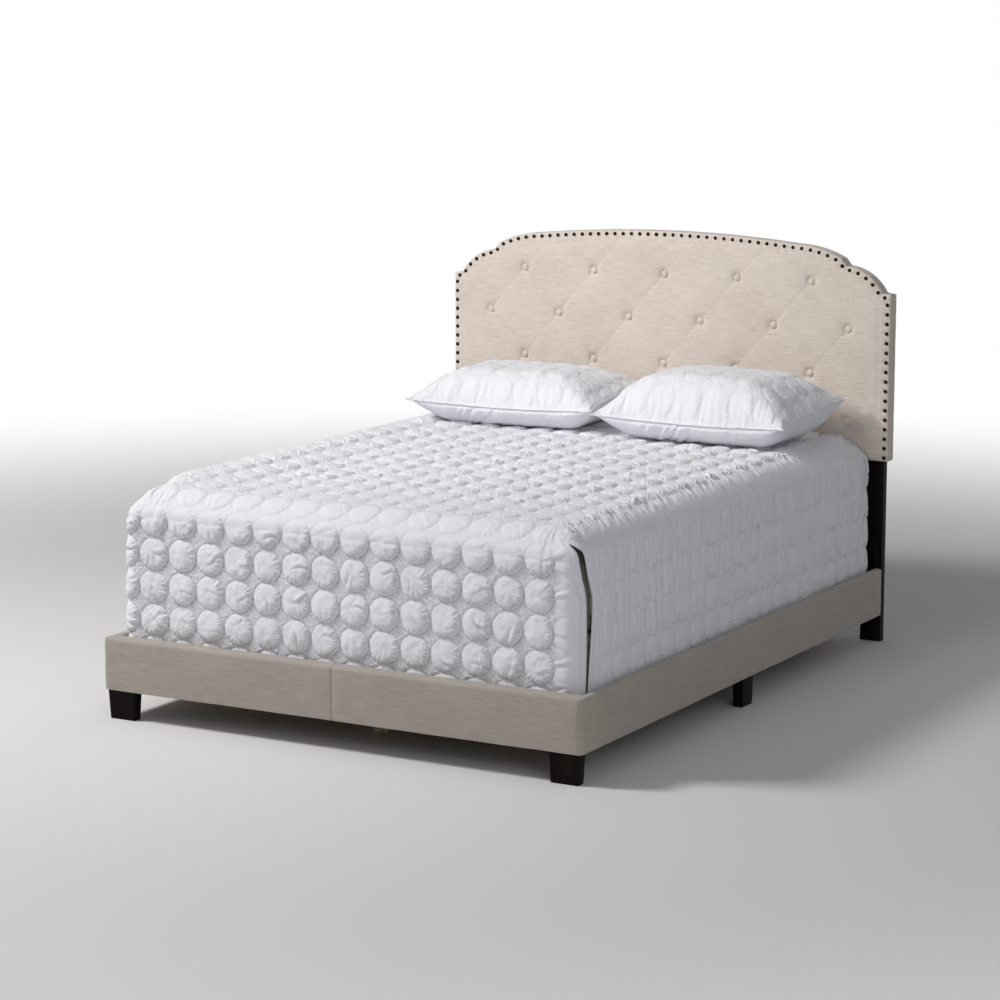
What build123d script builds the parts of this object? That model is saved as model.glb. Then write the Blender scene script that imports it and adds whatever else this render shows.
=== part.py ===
from build123d import *
import os

os.makedirs("parts", exist_ok=True)

# An upholstered queen bed, made up with its box spring, mattress, coverlet and two pillows.
# X runs across the bed, Y from the foot to the head, Z up from the floor, all in millimetres.

# Outer sizes of the padded rails
rail_span = 1600
rail_run = 2126
rail_height = 155
floor_clearance = 90
side_thickness = 28
foot_thickness = 50
rail_edge_radius = 9
foot_corner_radius = 18
seam_gap = 0.8
end_fold = 4

# Outer sizes of the headboard, which stands out past the rails on both sides
headboard_overhang = 20
headboard_bottom = 608
headboard_top = 1332
crest_rise = 177
head_edge_radius = 7

# Layers of the upholstery and of the headboard, from the front to the back
linen = 1.2
side_foam = 6.6
foot_foam = 13
top_foam = 8
head_foam = 12.8
head_panel = 8
head_frame_depth = 28
back_cloth = 1.5

# Bedding, which leaves a gap all round inside the rails and the headboard
bedding_side_gap = 24
bedding_foot_gap = 19
head_gap = 10
mattress_height = 289
box_spring_height = 229
bedding_corner_radius = 45
mattress_edge_radius = 55
coverlet_thickness = 8
coverlet_clearance = 1
hem_rise = 35

# Fasteners
bolt_radius = 4
bolt_head_radius = 7.5
bolt_head_height = 4
bolt_reach = 18
washer_radius = 11
washer_thickness = 1.6
bore_clearance = 0.15
cut_overrun = 2

# Levels and faces that the pieces share
half_span = rail_span / 2
rail_bottom = floor_clearance
rail_top = floor_clearance + rail_height
inner_half = half_span - side_thickness
headboard_width = rail_span + 2 * headboard_overhang
overall_depth = rail_run + head_frame_depth + washer_thickness + bolt_head_height
foot_face = -overall_depth / 2
foot_inside = foot_face + foot_thickness
rail_end = foot_face + rail_run
frame_back = rail_end + head_frame_depth
panel_face = rail_end - head_panel
head_face = panel_face - head_foam - linen
headboard_shoulder = headboard_top - crest_rise
sides = {"left": -1, "right": 1}


def save(made, name):
    """Label a finished piece and write it to its own file."""
    made.part.label = name
    export_step(made.part, f"parts/{name}.step")


def slab(low, high):
    """Plain board between two opposite corners."""
    with BuildPart() as made:
        with BuildSketch(Plane.XY.offset(low[2])):
            with Locations(((low[0] + high[0]) / 2, (low[1] + high[1]) / 2)):
                Rectangle(high[0] - low[0], high[1] - low[1])
        extrude(amount=high[2] - low[2])
    return made


def sided(side, near, far):
    """Order a pair of distances from the middle plane along X for one side of the bed."""
    return (near, far) if side > 0 else (-far, -near)


def seat(x, y, z, direction):
    """Place for a fastener whose head leaves along the direction."""
    return Plane(origin=(x, y, z), z_dir=direction).location


def rod(radius, length):
    """Straight pin that runs back from its seat, used to bore the holes."""
    with BuildPart() as made:
        with BuildSketch(Plane.XY.offset(cut_overrun)):
            Circle(radius)
        extrude(amount=-length - cut_overrun)
    return made


def bored(made, seats, radius, length):
    """The same piece with a hole at each seat."""
    drill = rod(radius, length)
    with BuildPart() as drilled:
        add(made.part)
        with Locations(*seats):
            add(drill.part, mode=Mode.SUBTRACT)
    return drilled


def without(made, *others):
    """The same piece with other forms taken away."""
    with BuildPart() as cut:
        add(made.part)
        for other in others:
            add(other.part, mode=Mode.SUBTRACT)
    return cut


def grouped(pieces):
    """Separate solids that share one node."""
    with BuildPart() as group:
        for piece in pieces:
            add(piece.part)
    return group


def fastener(head_radius, head_height, shank_radius, shank_length, dome):
    """Domed head on a round shank, seated on the plane of its location."""
    with BuildPart() as made:
        with BuildSketch(Plane.XY):
            Circle(head_radius)
        extrude(amount=head_height)
        fillet(made.edges().sort_by(Axis.Z)[-1], dome)
        if shank_length:
            with BuildSketch(Plane.XY):
                Circle(shank_radius)
            extrude(amount=-shank_length)
    return made


def placed(made, seats):
    """Copies of one small piece, one at each seat."""
    with BuildPart() as group:
        with Locations(*seats):
            add(made.part)
    return group


# Places along the two side rails
joint_y = (foot_inside + rail_end) / 2
bracket_leg = 42
bracket_thickness = 3
bracket_height = 60
bracket_rise = 6
bracket_bottom = rail_bottom + bracket_rise
bracket_bolt_share = 0.6
bracket_level_shares = (0.25, 0.75)
bolt_dome_share = 0.6
slat_thickness = 20
slat_width = 90
slat_clearance = 2
slat_share = (0.115, 0.372, 0.628, 0.885)
slat_rise = 75
slat_top = rail_bottom + slat_rise
slat_bottom = slat_top - slat_thickness
ledger_width = 25
ledger_height = 30
ledger_stop = 8
join_plate_length = 280
join_plate_height = 42
join_plate_thickness = 3
join_plate_top_gap = 14
join_plate_bottom = rail_top - join_plate_top_gap - join_plate_height
join_bolt_share = (-0.4, -0.16, 0.16, 0.4)

# Feet under the rails
foot_top_width = 97
foot_bottom_width = 86
foot_top_depth = 35
foot_bottom_depth = 31
foot_inset = 10
mid_foot_top_width = 76
mid_foot_bottom_width = 68
mid_foot_inset = 5
stud_radius = 3
stud_reach = 30
mid_stud_spread = 20


def side_form(side, y_low, y_high, inset):
    """Rounded length of side rail, drawn in all round by the inset."""
    with BuildPart() as made:
        with BuildSketch(Plane.XZ.offset(-y_low)) as profile:
            with Locations((side * (half_span - side_thickness / 2), (rail_bottom + rail_top) / 2)):
                Rectangle(side_thickness - 2 * inset, rail_height - 2 * inset)
            fillet(profile.vertices().sort_by(Axis.Y)[-2:], rail_edge_radius - inset)
        extrude(amount=y_low - y_high)
    return made


def foot_form(side, inset, fold):
    """Half of the footboard, rounded at its outer corner and top, drawn in by the inset and at the seam."""
    near, far = sided(side, seam_gap / 2 + fold, half_span - inset)
    block = slab(
        (near, foot_face + inset, rail_bottom + inset),
        (far, foot_inside - inset, rail_top - inset),
    )
    with BuildPart() as rounded:
        add(block.part)
        upright = rounded.edges().filter_by(Axis.Z).sort_by(Axis.Y)[:2].sort_by(Axis.X)
        fillet(upright[-1] if side > 0 else upright[0], foot_corner_radius - inset)
        rim = rounded.faces().sort_by(Axis.Z)[-1].edges()
        back_limit = foot_inside - foot_corner_radius / 2
        seam_limit = seam_gap / 2 + fold + foot_corner_radius / 2
        fillet(
            [e for e in rim if e.center().Y < back_limit and abs(e.center().X) > seam_limit],
            rail_edge_radius - inset,
        )
    return rounded


# Joints between the rails: plates inside the side rails and the footboard, angles in the four corners
corner_bolt_z = [bracket_bottom + share * bracket_height for share in bracket_level_shares]
corner_bolt_reach = bracket_leg * bracket_bolt_share
join_bolt_z = join_plate_bottom + join_plate_height / 2
corner_faces = {"front": (foot_inside, 1), "rear": (rail_end, -1)}

side_bolt_seats = []
end_bolt_seats = []
brackets = []
for side in sides.values():
    for face_y, inward in corner_faces.values():
        wall = side * inner_half
        with BuildPart() as bracket:
            with BuildSketch(Plane.XY.offset(bracket_bottom)):
                with BuildLine():
                    Polyline(
                        (wall, face_y),
                        (wall - side * bracket_leg, face_y),
                        (wall - side * bracket_leg, face_y + inward * bracket_thickness),
                        (wall - side * bracket_thickness, face_y + inward * bracket_thickness),
                        (wall - side * bracket_thickness, face_y + inward * bracket_leg),
                        (wall, face_y + inward * bracket_leg),
                        close=True,
                    )
                make_face()
            extrude(amount=bracket_height)
        brackets.append(bracket)
        side_leaf = (wall - side * bracket_thickness, face_y + inward * corner_bolt_reach)
        end_leaf = (wall - side * corner_bolt_reach, face_y + inward * bracket_thickness)
        for bolt_z in corner_bolt_z:
            side_bolt_seats.append(seat(*side_leaf, bolt_z, (-side, 0, 0)))
            end_bolt_seats.append(seat(*end_leaf, bolt_z, (0, inward, 0)))

side_joint_seats = {
    name: [
        seat(
            side * (inner_half - join_plate_thickness),
            joint_y + share * join_plate_length,
            join_bolt_z,
            (-side, 0, 0),
        )
        for share in join_bolt_share
    ]
    for name, side in sides.items()
}
foot_joint_seats = [
    seat(share * join_plate_length, foot_inside + join_plate_thickness, join_bolt_z, (0, 1, 0))
    for share in join_bolt_share
]
bolt_bore = bolt_radius + bore_clearance
all_bolt_seats = side_bolt_seats + end_bolt_seats + foot_joint_seats
for seats in side_joint_seats.values():
    all_bolt_seats = all_bolt_seats + seats

# Studs that hold the feet, standing half in the foot and half in the rail
front_foot_x = half_span - foot_inset - foot_top_width / 2
front_foot_y = foot_face + foot_inset + foot_top_depth / 2
mid_foot_x = half_span - mid_foot_inset - foot_top_depth / 2
stud_seats = []
for side in sides.values():
    stud_seats.append(seat(side * front_foot_x, front_foot_y, rail_bottom + stud_reach, (0, 0, 1)))
    for step in (-mid_stud_spread, mid_stud_spread):
        stud_seats.append(seat(side * mid_foot_x, joint_y + step, rail_bottom + stud_reach, (0, 0, 1)))
stud_bore = stud_radius + bore_clearance
stud_length = 2 * stud_reach

# Screws through the slats into the ledgers and the centre legs
screw_radius = 2.5
screw_head_radius = 5
screw_head_height = 3
screw_length = 40
centre_leg_width = 48
slat_y = [foot_inside + share * (rail_end - foot_inside) for share in slat_share]
ledger_screw_x = inner_half - ledger_width / 2
end_screw_seats = [
    seat(side * ledger_screw_x, y, slat_top, (0, 0, 1))
    for y in slat_y
    for side in sides.values()
]
centre_screw_seats = [seat(0, y, slat_top, (0, 0, 1)) for y in slat_y]
screw_seats = end_screw_seats + centre_screw_seats


# Side rails: each is two halves end to end, a board wrapped in foam and linen that is folded over the ends
side_spans = {
    "front": (foot_inside, joint_y - seam_gap / 2),
    "rear": (joint_y + seam_gap / 2, rail_end),
}
side_foams = []
for side_name, side in sides.items():
    board_x = sided(side, inner_half + linen, half_span - linen - side_foam)
    hole_seats = side_bolt_seats + side_joint_seats[side_name]
    for end_name, (y_low, y_high) in side_spans.items():
        plain_board = slab(
            (board_x[0], y_low + end_fold, rail_bottom + linen),
            (board_x[1], y_high - end_fold, rail_top - linen - top_foam),
        )
        wrap = side_form(side, y_low + end_fold, y_high - end_fold, linen)
        shell = without(side_form(side, y_low, y_high, 0), wrap)
        board = bored(plain_board, hole_seats, bolt_bore, bolt_reach)
        save(bored(board, stud_seats, stud_bore, stud_length), f"side_rail_board_{side_name}_{end_name}")
        cover = bored(shell, hole_seats, bolt_bore, bolt_reach)
        save(bored(cover, stud_seats, stud_bore, stud_length), f"side_rail_cover_{side_name}_{end_name}")
        side_foams.append(without(wrap, plain_board))
side_rail_foams = grouped(side_foams)
save(side_rail_foams, "side_rail_foams")

# Footboard: two halves that meet under the middle seam
foot_foams = []
for side_name, side in sides.items():
    board_x = sided(side, seam_gap / 2 + end_fold, half_span - linen - foot_foam)
    hole_seats = end_bolt_seats + foot_joint_seats
    plain_board = slab(
        (board_x[0], foot_face + linen + foot_foam, rail_bottom + linen),
        (board_x[1], foot_inside - linen, rail_top - linen - top_foam),
    )
    wrap = foot_form(side, linen, end_fold)
    shell = without(foot_form(side, 0, 0), wrap)
    board = bored(plain_board, hole_seats, bolt_bore, bolt_reach)
    save(bored(board, stud_seats, stud_bore, stud_length), f"footboard_board_{side_name}")
    cover = bored(shell, hole_seats, bolt_bore, bolt_reach)
    save(bored(cover, stud_seats, stud_bore, stud_length), f"footboard_cover_{side_name}")
    foot_foams.append(without(wrap, plain_board))
footboard_foams = grouped(foot_foams)
save(footboard_foams, "footboard_foams")

# Steel plates and angles
for side_name, side in sides.items():
    plate_x = sided(side, inner_half - join_plate_thickness, inner_half)
    plate = slab(
        (plate_x[0], joint_y - join_plate_length / 2, join_plate_bottom),
        (plate_x[1], joint_y + join_plate_length / 2, join_plate_bottom + join_plate_height),
    )
    save(bored(plate, side_joint_seats[side_name], bolt_bore, bolt_reach), f"side_join_plate_{side_name}")

foot_plate = slab(
    (-join_plate_length / 2, foot_inside, join_plate_bottom),
    (join_plate_length / 2, foot_inside + join_plate_thickness, join_plate_bottom + join_plate_height),
)
save(bored(foot_plate, foot_joint_seats, bolt_bore, bolt_reach), "footboard_join_plate")

corner_seats = side_bolt_seats + end_bolt_seats
corner_brackets = grouped([bored(bracket, corner_seats, bolt_bore, bolt_reach) for bracket in brackets])
save(corner_brackets, "corner_brackets")

bolt_dome = bolt_head_height * bolt_dome_share
bolt = fastener(bolt_head_radius, bolt_head_height, bolt_radius, bolt_reach, bolt_dome)
save(placed(bolt, all_bolt_seats), "frame_bolts")


# Feet: tapered blocks, the middle pair turned along the rails under the joints
def tapered_foot(x, y, top_size, bottom_size):
    """Block that narrows evenly from the rail to the floor."""
    with BuildPart() as made:
        with BuildSketch(Plane.XY.offset(rail_bottom)):
            with Locations((x, y)):
                Rectangle(*top_size)
        with BuildSketch(Plane.XY):
            with Locations((x, y)):
                Rectangle(*bottom_size)
        loft(ruled=True)
    return made


for side_name, side in sides.items():
    front_foot = tapered_foot(
        side * front_foot_x,
        front_foot_y,
        (foot_top_width, foot_top_depth),
        (foot_bottom_width, foot_bottom_depth),
    )
    save(bored(front_foot, stud_seats, stud_bore, stud_length), f"front_foot_{side_name}")
    mid_foot = tapered_foot(
        side * mid_foot_x,
        joint_y,
        (foot_top_depth, mid_foot_top_width),
        (foot_bottom_depth, mid_foot_bottom_width),
    )
    save(bored(mid_foot, stud_seats, stud_bore, stud_length), f"mid_foot_{side_name}")

with BuildPart() as stud:
    with BuildSketch(Plane.XY):
        Circle(stud_radius)
    extrude(amount=-stud_length)
save(placed(stud, stud_seats), "foot_studs")

# Ledgers along the side rails, slats across them, and a leg under the middle of each slat
screw_bore = screw_radius + bore_clearance
screw_head_bore = screw_head_radius + bore_clearance
ledgers = []
for side in sides.values():
    ledger_x = sided(side, inner_half - ledger_width, inner_half)
    for end_name, (y_low, y_high) in side_spans.items():
        front_stop = bracket_leg + ledger_stop if end_name == "front" else 0
        rear_stop = bracket_leg + ledger_stop if end_name == "rear" else 0
        ledger = slab(
            (ledger_x[0], y_low + front_stop, slat_bottom - ledger_height),
            (ledger_x[1], y_high - rear_stop, slat_bottom),
        )
        ledgers.append(bored(ledger, end_screw_seats, screw_bore, screw_length))
slat_ledgers = grouped(ledgers)
save(slat_ledgers, "slat_ledgers")

for number, y in enumerate(slat_y, start=1):
    slat = slab(
        (slat_clearance - inner_half, y - slat_width / 2, slat_bottom),
        (inner_half - slat_clearance, y + slat_width / 2, slat_top),
    )
    drilled = bored(slat, screw_seats, screw_bore, screw_length)
    save(bored(drilled, screw_seats, screw_head_bore, screw_head_height), f"slat_{number}")

legs_under = []
for y in slat_y:
    leg = slab(
        (-centre_leg_width / 2, y - centre_leg_width / 2, 0),
        (centre_leg_width / 2, y + centre_leg_width / 2, slat_bottom),
    )
    legs_under.append(bored(leg, centre_screw_seats, screw_bore, screw_length))
centre_legs = grouped(legs_under)
save(centre_legs, "centre_legs")

with BuildPart() as screw:
    with BuildSketch(Plane.XY):
        Circle(screw_head_radius)
    extrude(amount=-screw_head_height)
    with BuildSketch(Plane.XY.offset(-screw_head_height)):
        Circle(screw_radius)
    extrude(amount=screw_head_height - screw_length)
save(placed(screw, screw_seats), "slat_screws")

# Headboard outline: straight sides, a short ledge, a rounded shoulder, a small step and a low arch.
# Each point is a share of the half width and of the rise from the ledge to the top of the arch.
ledge_share = (0.963, 0.03)
shoulder_arc_share = (0.913, 0.305)
step_foot_share = (0.807, 0.503)
step_head_share = (0.785, 0.633)
arch_corner_share = (0.727, 0.746)
arch_end_share = (0.587, 0.862)
headboard_half = headboard_width / 2


def crest(side, share):
    """Point of the headboard's upper outline on one side."""
    return (
        side * headboard_half * share[0],
        headboard_shoulder + (headboard_top - headboard_shoulder) * share[1],
    )


def head_form(y_low, y_high, inset):
    """Headboard outline, drawn in by the inset and extruded between two depths."""
    with BuildPart() as made:
        with BuildSketch(Plane.XZ.offset(-y_low)):
            with BuildLine():
                Line((-headboard_half, headboard_bottom), (headboard_half, headboard_bottom))
                for side in sides.values():
                    edge_x = side * headboard_half
                    Line((edge_x, headboard_bottom), (edge_x, headboard_shoulder))
                    Line((edge_x, headboard_shoulder), crest(side, ledge_share))
                    ThreePointArc(
                        crest(side, ledge_share),
                        crest(side, shoulder_arc_share),
                        crest(side, step_foot_share),
                    )
                    Line(crest(side, step_foot_share), crest(side, step_head_share))
                    ThreePointArc(
                        crest(side, step_head_share),
                        crest(side, arch_corner_share),
                        crest(side, arch_end_share),
                    )
                ThreePointArc(crest(-1, arch_end_share), (0, headboard_top), crest(1, arch_end_share))
            make_face()
            if inset:
                offset(amount=-inset, kind=Kind.INTERSECTION, mode=Mode.REPLACE)
        extrude(amount=y_low - y_high)
    return made


# Rows of covered buttons, set in shallow dishes, every second row shifted by half a pitch
button_pitch = 269
button_top_drop = 145
button_bottom_rise = 123
button_row_counts = (5, 6, 5, 6)
button_top_row = headboard_top - button_top_drop
button_bottom_row = headboard_bottom + button_bottom_rise
button_row_pitch = (button_top_row - button_bottom_row) / (len(button_row_counts) - 1)
button_radius = 12.5
button_height = 6
button_dome = 3.5
button_seat_depth = 5.2
button_shank_radius = 1.5
button_shank_length = 15
dish_depth = 6.5
dish_radius = 70
button_seats = []
dish_centres = []
for row, count in enumerate(button_row_counts):
    for place in range(count):
        x = (place - (count - 1) / 2) * button_pitch
        z = button_top_row - row * button_row_pitch
        button_seats.append(seat(x, head_face + button_seat_depth, z, (0, -1, 0)))
        dish_centres.append((x, head_face + dish_depth - dish_radius, z))

# Nails along the sides and the top, on a line just inside the edge
nail_radius = 6.5
nail_height = 4.2
nail_rim = 0.6
nail_inset = 12
nail_pitch = 31.5
nail_face = head_form(head_face, head_face + linen, nail_inset).faces().sort_by(Axis.Y)[0]
nail_floor = headboard_bottom + nail_inset + linen
nail_line = Wire([e for e in nail_face.edges() if e.center().Z > nail_floor])
nail_spaces = round(nail_line.length / nail_pitch)
nail_points = [
    nail_line.position_at(k * nail_line.length / nail_spaces, position_mode=PositionMode.LENGTH)
    for k in range(nail_spaces + 1)
]
nail_seats = [seat(p.X, head_face, p.Z, (0, -1, 0)) for p in nail_points]


def dished(made, radius):
    """Cut the shallow dishes of the tufting into one layer."""
    with BuildPart() as hollowed:
        add(made.part)
        with Locations(*dish_centres):
            Sphere(radius, mode=Mode.SUBTRACT)
    return hollowed


# Headboard: a linen cover over foam over a thin panel, stiffened by battens behind
leg_width = 72
leg_top_drop = 165
leg_top = headboard_shoulder - leg_top_drop
batten_fit = 0.5
leg_notches = []
for side in sides.values():
    notch_x = sided(side, half_span - leg_width - batten_fit, half_span + batten_fit)
    leg_notches.append(
        slab((notch_x[0], rail_end, 0), (notch_x[1], frame_back + back_cloth, leg_top + batten_fit))
    )


def softened(made, radius):
    """Round the front edge of a layer of the headboard."""
    with BuildPart() as rounded:
        add(made.part)
        fillet(rounded.faces().sort_by(Axis.Y)[0].edges(), radius)
    return rounded


shank_bore = button_shank_radius + bore_clearance
inner_radius = head_edge_radius - linen
head_core = softened(head_form(head_face + linen, panel_face, linen), inner_radius)
head_foam_layer = dished(head_core, dish_radius + linen)
save(bored(head_foam_layer, button_seats, shank_bore, button_shank_length), "headboard_foam")

head_outside = softened(head_form(head_face, frame_back, 0), head_edge_radius)
head_inside = softened(head_form(head_face + linen, frame_back, linen), inner_radius)
head_inside = dished(head_inside, dish_radius + linen)
head_shell = dished(without(head_outside, head_inside, *leg_notches), dish_radius)
save(bored(head_shell, button_seats, shank_bore, button_shank_length), "headboard_cover")

# Legs behind the headboard, bolted through its panel into tee nuts
leg_bolt_share = (0.12, 0.48, 0.84)
leg_bolt_reach = head_frame_depth + head_panel
leg_middle = half_span - leg_width / 2
leg_bolt_z = [headboard_bottom + share * (leg_top - headboard_bottom) for share in leg_bolt_share]


def leg_seats(y):
    """Places of the six leg bolts at one depth."""
    return [seat(side * leg_middle, y, z, (0, 1, 0)) for side in sides.values() for z in leg_bolt_z]


tee_nut_radius = 6
tee_nut_seats = leg_seats(rail_end)
washer_seats = leg_seats(frame_back)
leg_bolt_seats = leg_seats(frame_back + washer_thickness)

plain_panel = head_form(panel_face, rail_end, linen)
with_shanks = bored(plain_panel, button_seats, shank_bore, button_shank_length)
save(bored(with_shanks, tee_nut_seats, tee_nut_radius, head_panel), "headboard_panel")

for side_name, side in sides.items():
    leg_span = sided(side, half_span - leg_width, half_span)
    leg = slab((leg_span[0], rail_end, 0), (leg_span[1], frame_back, leg_top))
    leg = bored(leg, washer_seats, bolt_bore, leg_bolt_reach)
    save(bored(leg, end_bolt_seats, bolt_bore, bolt_reach), f"head_leg_{side_name}")

leg_bolt = fastener(bolt_head_radius, bolt_head_height, bolt_radius, leg_bolt_reach, bolt_dome)
save(placed(leg_bolt, leg_bolt_seats), "leg_bolts")

with BuildPart() as washer:
    with BuildSketch(Plane.XY):
        Circle(washer_radius)
        Circle(bolt_bore, mode=Mode.SUBTRACT)
    extrude(amount=washer_thickness)
save(placed(washer, washer_seats), "leg_washers")

with BuildPart() as tee_nut:
    with BuildSketch(Plane.XY):
        Circle(tee_nut_radius)
        Circle(bolt_bore, mode=Mode.SUBTRACT)
    extrude(amount=-head_panel)
save(placed(tee_nut, tee_nut_seats), "leg_tee_nuts")

# Battens behind the panel
batten_width = 46
arch_batten_rise = 12
mid_rail_gap = 11.5
mid_rail_bottom = leg_top + mid_rail_gap
stile_inner = half_span + batten_fit
stile_outer = headboard_half - linen
stile_top = headboard_shoulder - arch_batten_rise
for side_name, side in sides.items():
    stile_x = sided(side, stile_inner, stile_outer)
    stile = slab(
        (stile_x[0], rail_end, headboard_bottom + linen),
        (stile_x[1], frame_back, stile_top),
    )
    save(stile, f"headboard_stile_{side_name}")

mid_rail = slab(
    (-stile_inner, rail_end, mid_rail_bottom),
    (stile_inner, frame_back, mid_rail_bottom + batten_width),
)
save(mid_rail, "headboard_mid_rail")

bottom_half = half_span - leg_width - batten_fit
bottom_rail = slab(
    (-bottom_half, rail_end, headboard_bottom + linen),
    (bottom_half, frame_back, headboard_bottom + linen + batten_width),
)
save(bottom_rail, "headboard_bottom_rail")

arch_outer = head_form(rail_end, frame_back, linen)
arch_inner = head_form(rail_end, frame_back, batten_width)
below_arch = slab((-headboard_width, rail_end, 0), (headboard_width, frame_back, stile_top))
save(without(arch_outer, arch_inner, below_arch), "headboard_arch_rail")

# Cloth tacked over the back, cut out around the two legs
cloth_inset = 9
cloth_sheet = head_form(frame_back, frame_back + back_cloth, cloth_inset)
save(without(cloth_sheet, *leg_notches), "headboard_back_cloth")

# Buttons and nails
button = fastener(button_radius, button_height, button_shank_radius, button_shank_length, button_dome)
save(placed(button, button_seats), "headboard_buttons")
nail = fastener(nail_radius, nail_height, nail_radius, 0, nail_height - nail_rim)
save(placed(nail, nail_seats), "headboard_nails")


# Bedding: blocks with rounded upright corners, rounded along the top
bedding_head = head_face - head_gap
bedding_foot = foot_inside + bedding_foot_gap
mattress_length = bedding_head - bedding_foot
mattress_width = 2 * (inner_half - bedding_side_gap)
box_spring_top = slat_top + box_spring_height
mattress_top = box_spring_top + mattress_height
coverlet_top = mattress_top + coverlet_clearance + coverlet_thickness
soft_gap = 0.3


def bedding_form(bottom, top, inset, edge_radius, head_end=None):
    """Rounded block on the mattress plan, drawn in by the inset; a given head end is left square."""
    half_width = mattress_width / 2 - inset
    high_y = bedding_head - inset if head_end is None else head_end
    block = slab((-half_width, bedding_foot + inset, bottom), (half_width, high_y, top))
    with BuildPart() as made:
        add(block.part)
        uprights = made.edges().filter_by(Axis.Z).sort_by(Axis.Y)
        fillet(uprights if head_end is None else uprights[:2], bedding_corner_radius - inset)
        if edge_radius:
            rim = made.faces().sort_by(Axis.Z)[-1].edges().sort_by(Axis.Y)
            fillet(rim if head_end is None else rim[:-1], edge_radius - inset)
    return made


# Box spring: a wooden frame and cross boards inside a fabric cover, closed below by a thin cloth
spring_cover = 3
spring_board = 20
spring_board_width = 70
spring_board_share = (0.1, 0.233, 0.366, 0.5, 0.634, 0.767, 0.9)
dust_cloth = 1
inner_top = box_spring_top - spring_cover
inner_bottom = slat_top + dust_cloth

spring_outside = bedding_form(slat_top, box_spring_top, 0, 0)
spring_inside = bedding_form(slat_top, inner_top, spring_cover, 0)
save(without(spring_outside, spring_inside), "box_spring_cover")
save(bedding_form(slat_top, inner_bottom, spring_cover, 0), "box_spring_dust_cloth")

frame_outside = bedding_form(inner_bottom, inner_top - spring_board, spring_cover, 0)
frame_inside = bedding_form(inner_bottom, inner_top - spring_board, spring_cover + spring_board, 0)
save(without(frame_outside, frame_inside), "box_spring_frame")

spring_boards = []
for share in spring_board_share:
    y = bedding_foot + share * mattress_length
    half_width = mattress_width / 2 - spring_cover
    spring_boards.append(
        slab(
            (-half_width, y - spring_board_width / 2, inner_top - spring_board),
            (half_width, y + spring_board_width / 2, inner_top),
        )
    )
save(grouped(spring_boards), "box_spring_boards")

# Mattress: a foam core in a quilted cover, with a tape sewn round the bottom and the top of its border
ticking = 6
tape_width = 18
tape_depth = 1.4
tape_proud = 0.6
tape_rise = 26
tape_drop = 103
tape_bottoms = (box_spring_top + tape_rise, mattress_top - tape_drop)
tapes = []
for tape_bottom in tape_bottoms:
    tape_outside = bedding_form(tape_bottom, tape_bottom + tape_width, -tape_proud, 0)
    tape_inside = bedding_form(tape_bottom, tape_bottom + tape_width, tape_depth, 0)
    tapes.append(without(tape_outside, tape_inside))
mattress_edge_tapes = grouped(tapes)
save(mattress_edge_tapes, "mattress_edge_tapes")

core_bottom = box_spring_top + ticking
mattress_core = bedding_form(core_bottom, mattress_top - ticking, ticking, mattress_edge_radius)
save(mattress_core, "mattress_core")
mattress_block = bedding_form(box_spring_top, mattress_top, 0, mattress_edge_radius)
save(without(mattress_block, mattress_core, mattress_edge_tapes), "mattress_cover")

# Coverlet: one quilted cloth over the mattress, hanging inside the rails, split at its two foot corners
coverlet_hem = slat_top + hem_rise
slit_width = 7
slit_reach = 60
slit_drop = 78
slit_top = coverlet_top - slit_drop
outside = -coverlet_clearance - coverlet_thickness
coverlet_outside = bedding_form(coverlet_hem, coverlet_top, outside, mattress_edge_radius, bedding_head)
coverlet_inside = bedding_form(
    coverlet_hem,
    coverlet_top - coverlet_thickness,
    -coverlet_clearance,
    mattress_edge_radius,
    bedding_head + cut_overrun,
)
slits = []
for side in sides.values():
    corner = Plane(
        origin=(side * mattress_width / 2, bedding_foot, coverlet_hem),
        x_dir=(side, -1, 0),
        z_dir=(0, 0, 1),
    )
    with BuildPart() as slit:
        with BuildSketch(corner):
            Rectangle(slit_reach, slit_width)
        extrude(amount=slit_top - coverlet_hem)
    slits.append(slit)
save(without(coverlet_outside, coverlet_inside, *slits), "coverlet")

# Pillows: a soft fill in a quilted sham, crowned on both sides of the seam, drawn in between the corners
pillow_gap = 40
pillow_side_gap = 38
pillow_shift = -10
pillow_depth = 505
pillow_seam_rise = 88
pillow_crown = 118
pillow_draw = 22
sham_cloth = 3
sham_edge = 14
pillow_back_gap = 55
pillow_crown_share = ((0, 1), (0.26, 0.955), (0.56, 0.87), (0.8, 0.74), (0.94, 0.57), (1, 0.4))
pillow_length = mattress_width / 2 - pillow_side_gap - pillow_gap / 2
pillow_middle = {
    name: pillow_shift + side * (pillow_gap + pillow_length) / 2
    for name, side in sides.items()
}
pillow_y = head_face - pillow_back_gap - pillow_depth / 2
pillow_rest = coverlet_top + soft_gap


def pillow_half(middle_x, seam_z, rise, length, depth, draw):
    """One crowned half of a pillow, from the flat seam outline up or down to its flattest part."""
    with BuildPart() as made:
        for height_share, plan_share in pillow_crown_share:
            across = length / 2 * plan_share
            along = depth / 2 * plan_share
            pull = draw * plan_share
            with BuildSketch(Plane(origin=(middle_x, pillow_y, seam_z + rise * height_share))):
                with BuildLine():
                    ThreePointArc((-across, -along), (0, pull - along), (across, -along))
                    ThreePointArc((across, -along), (across - pull, 0), (across, along))
                    ThreePointArc((across, along), (0, along - pull), (-across, along))
                    ThreePointArc((-across, along), (pull - across, 0), (-across, -along))
                make_face()
        loft()
    return made


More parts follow.
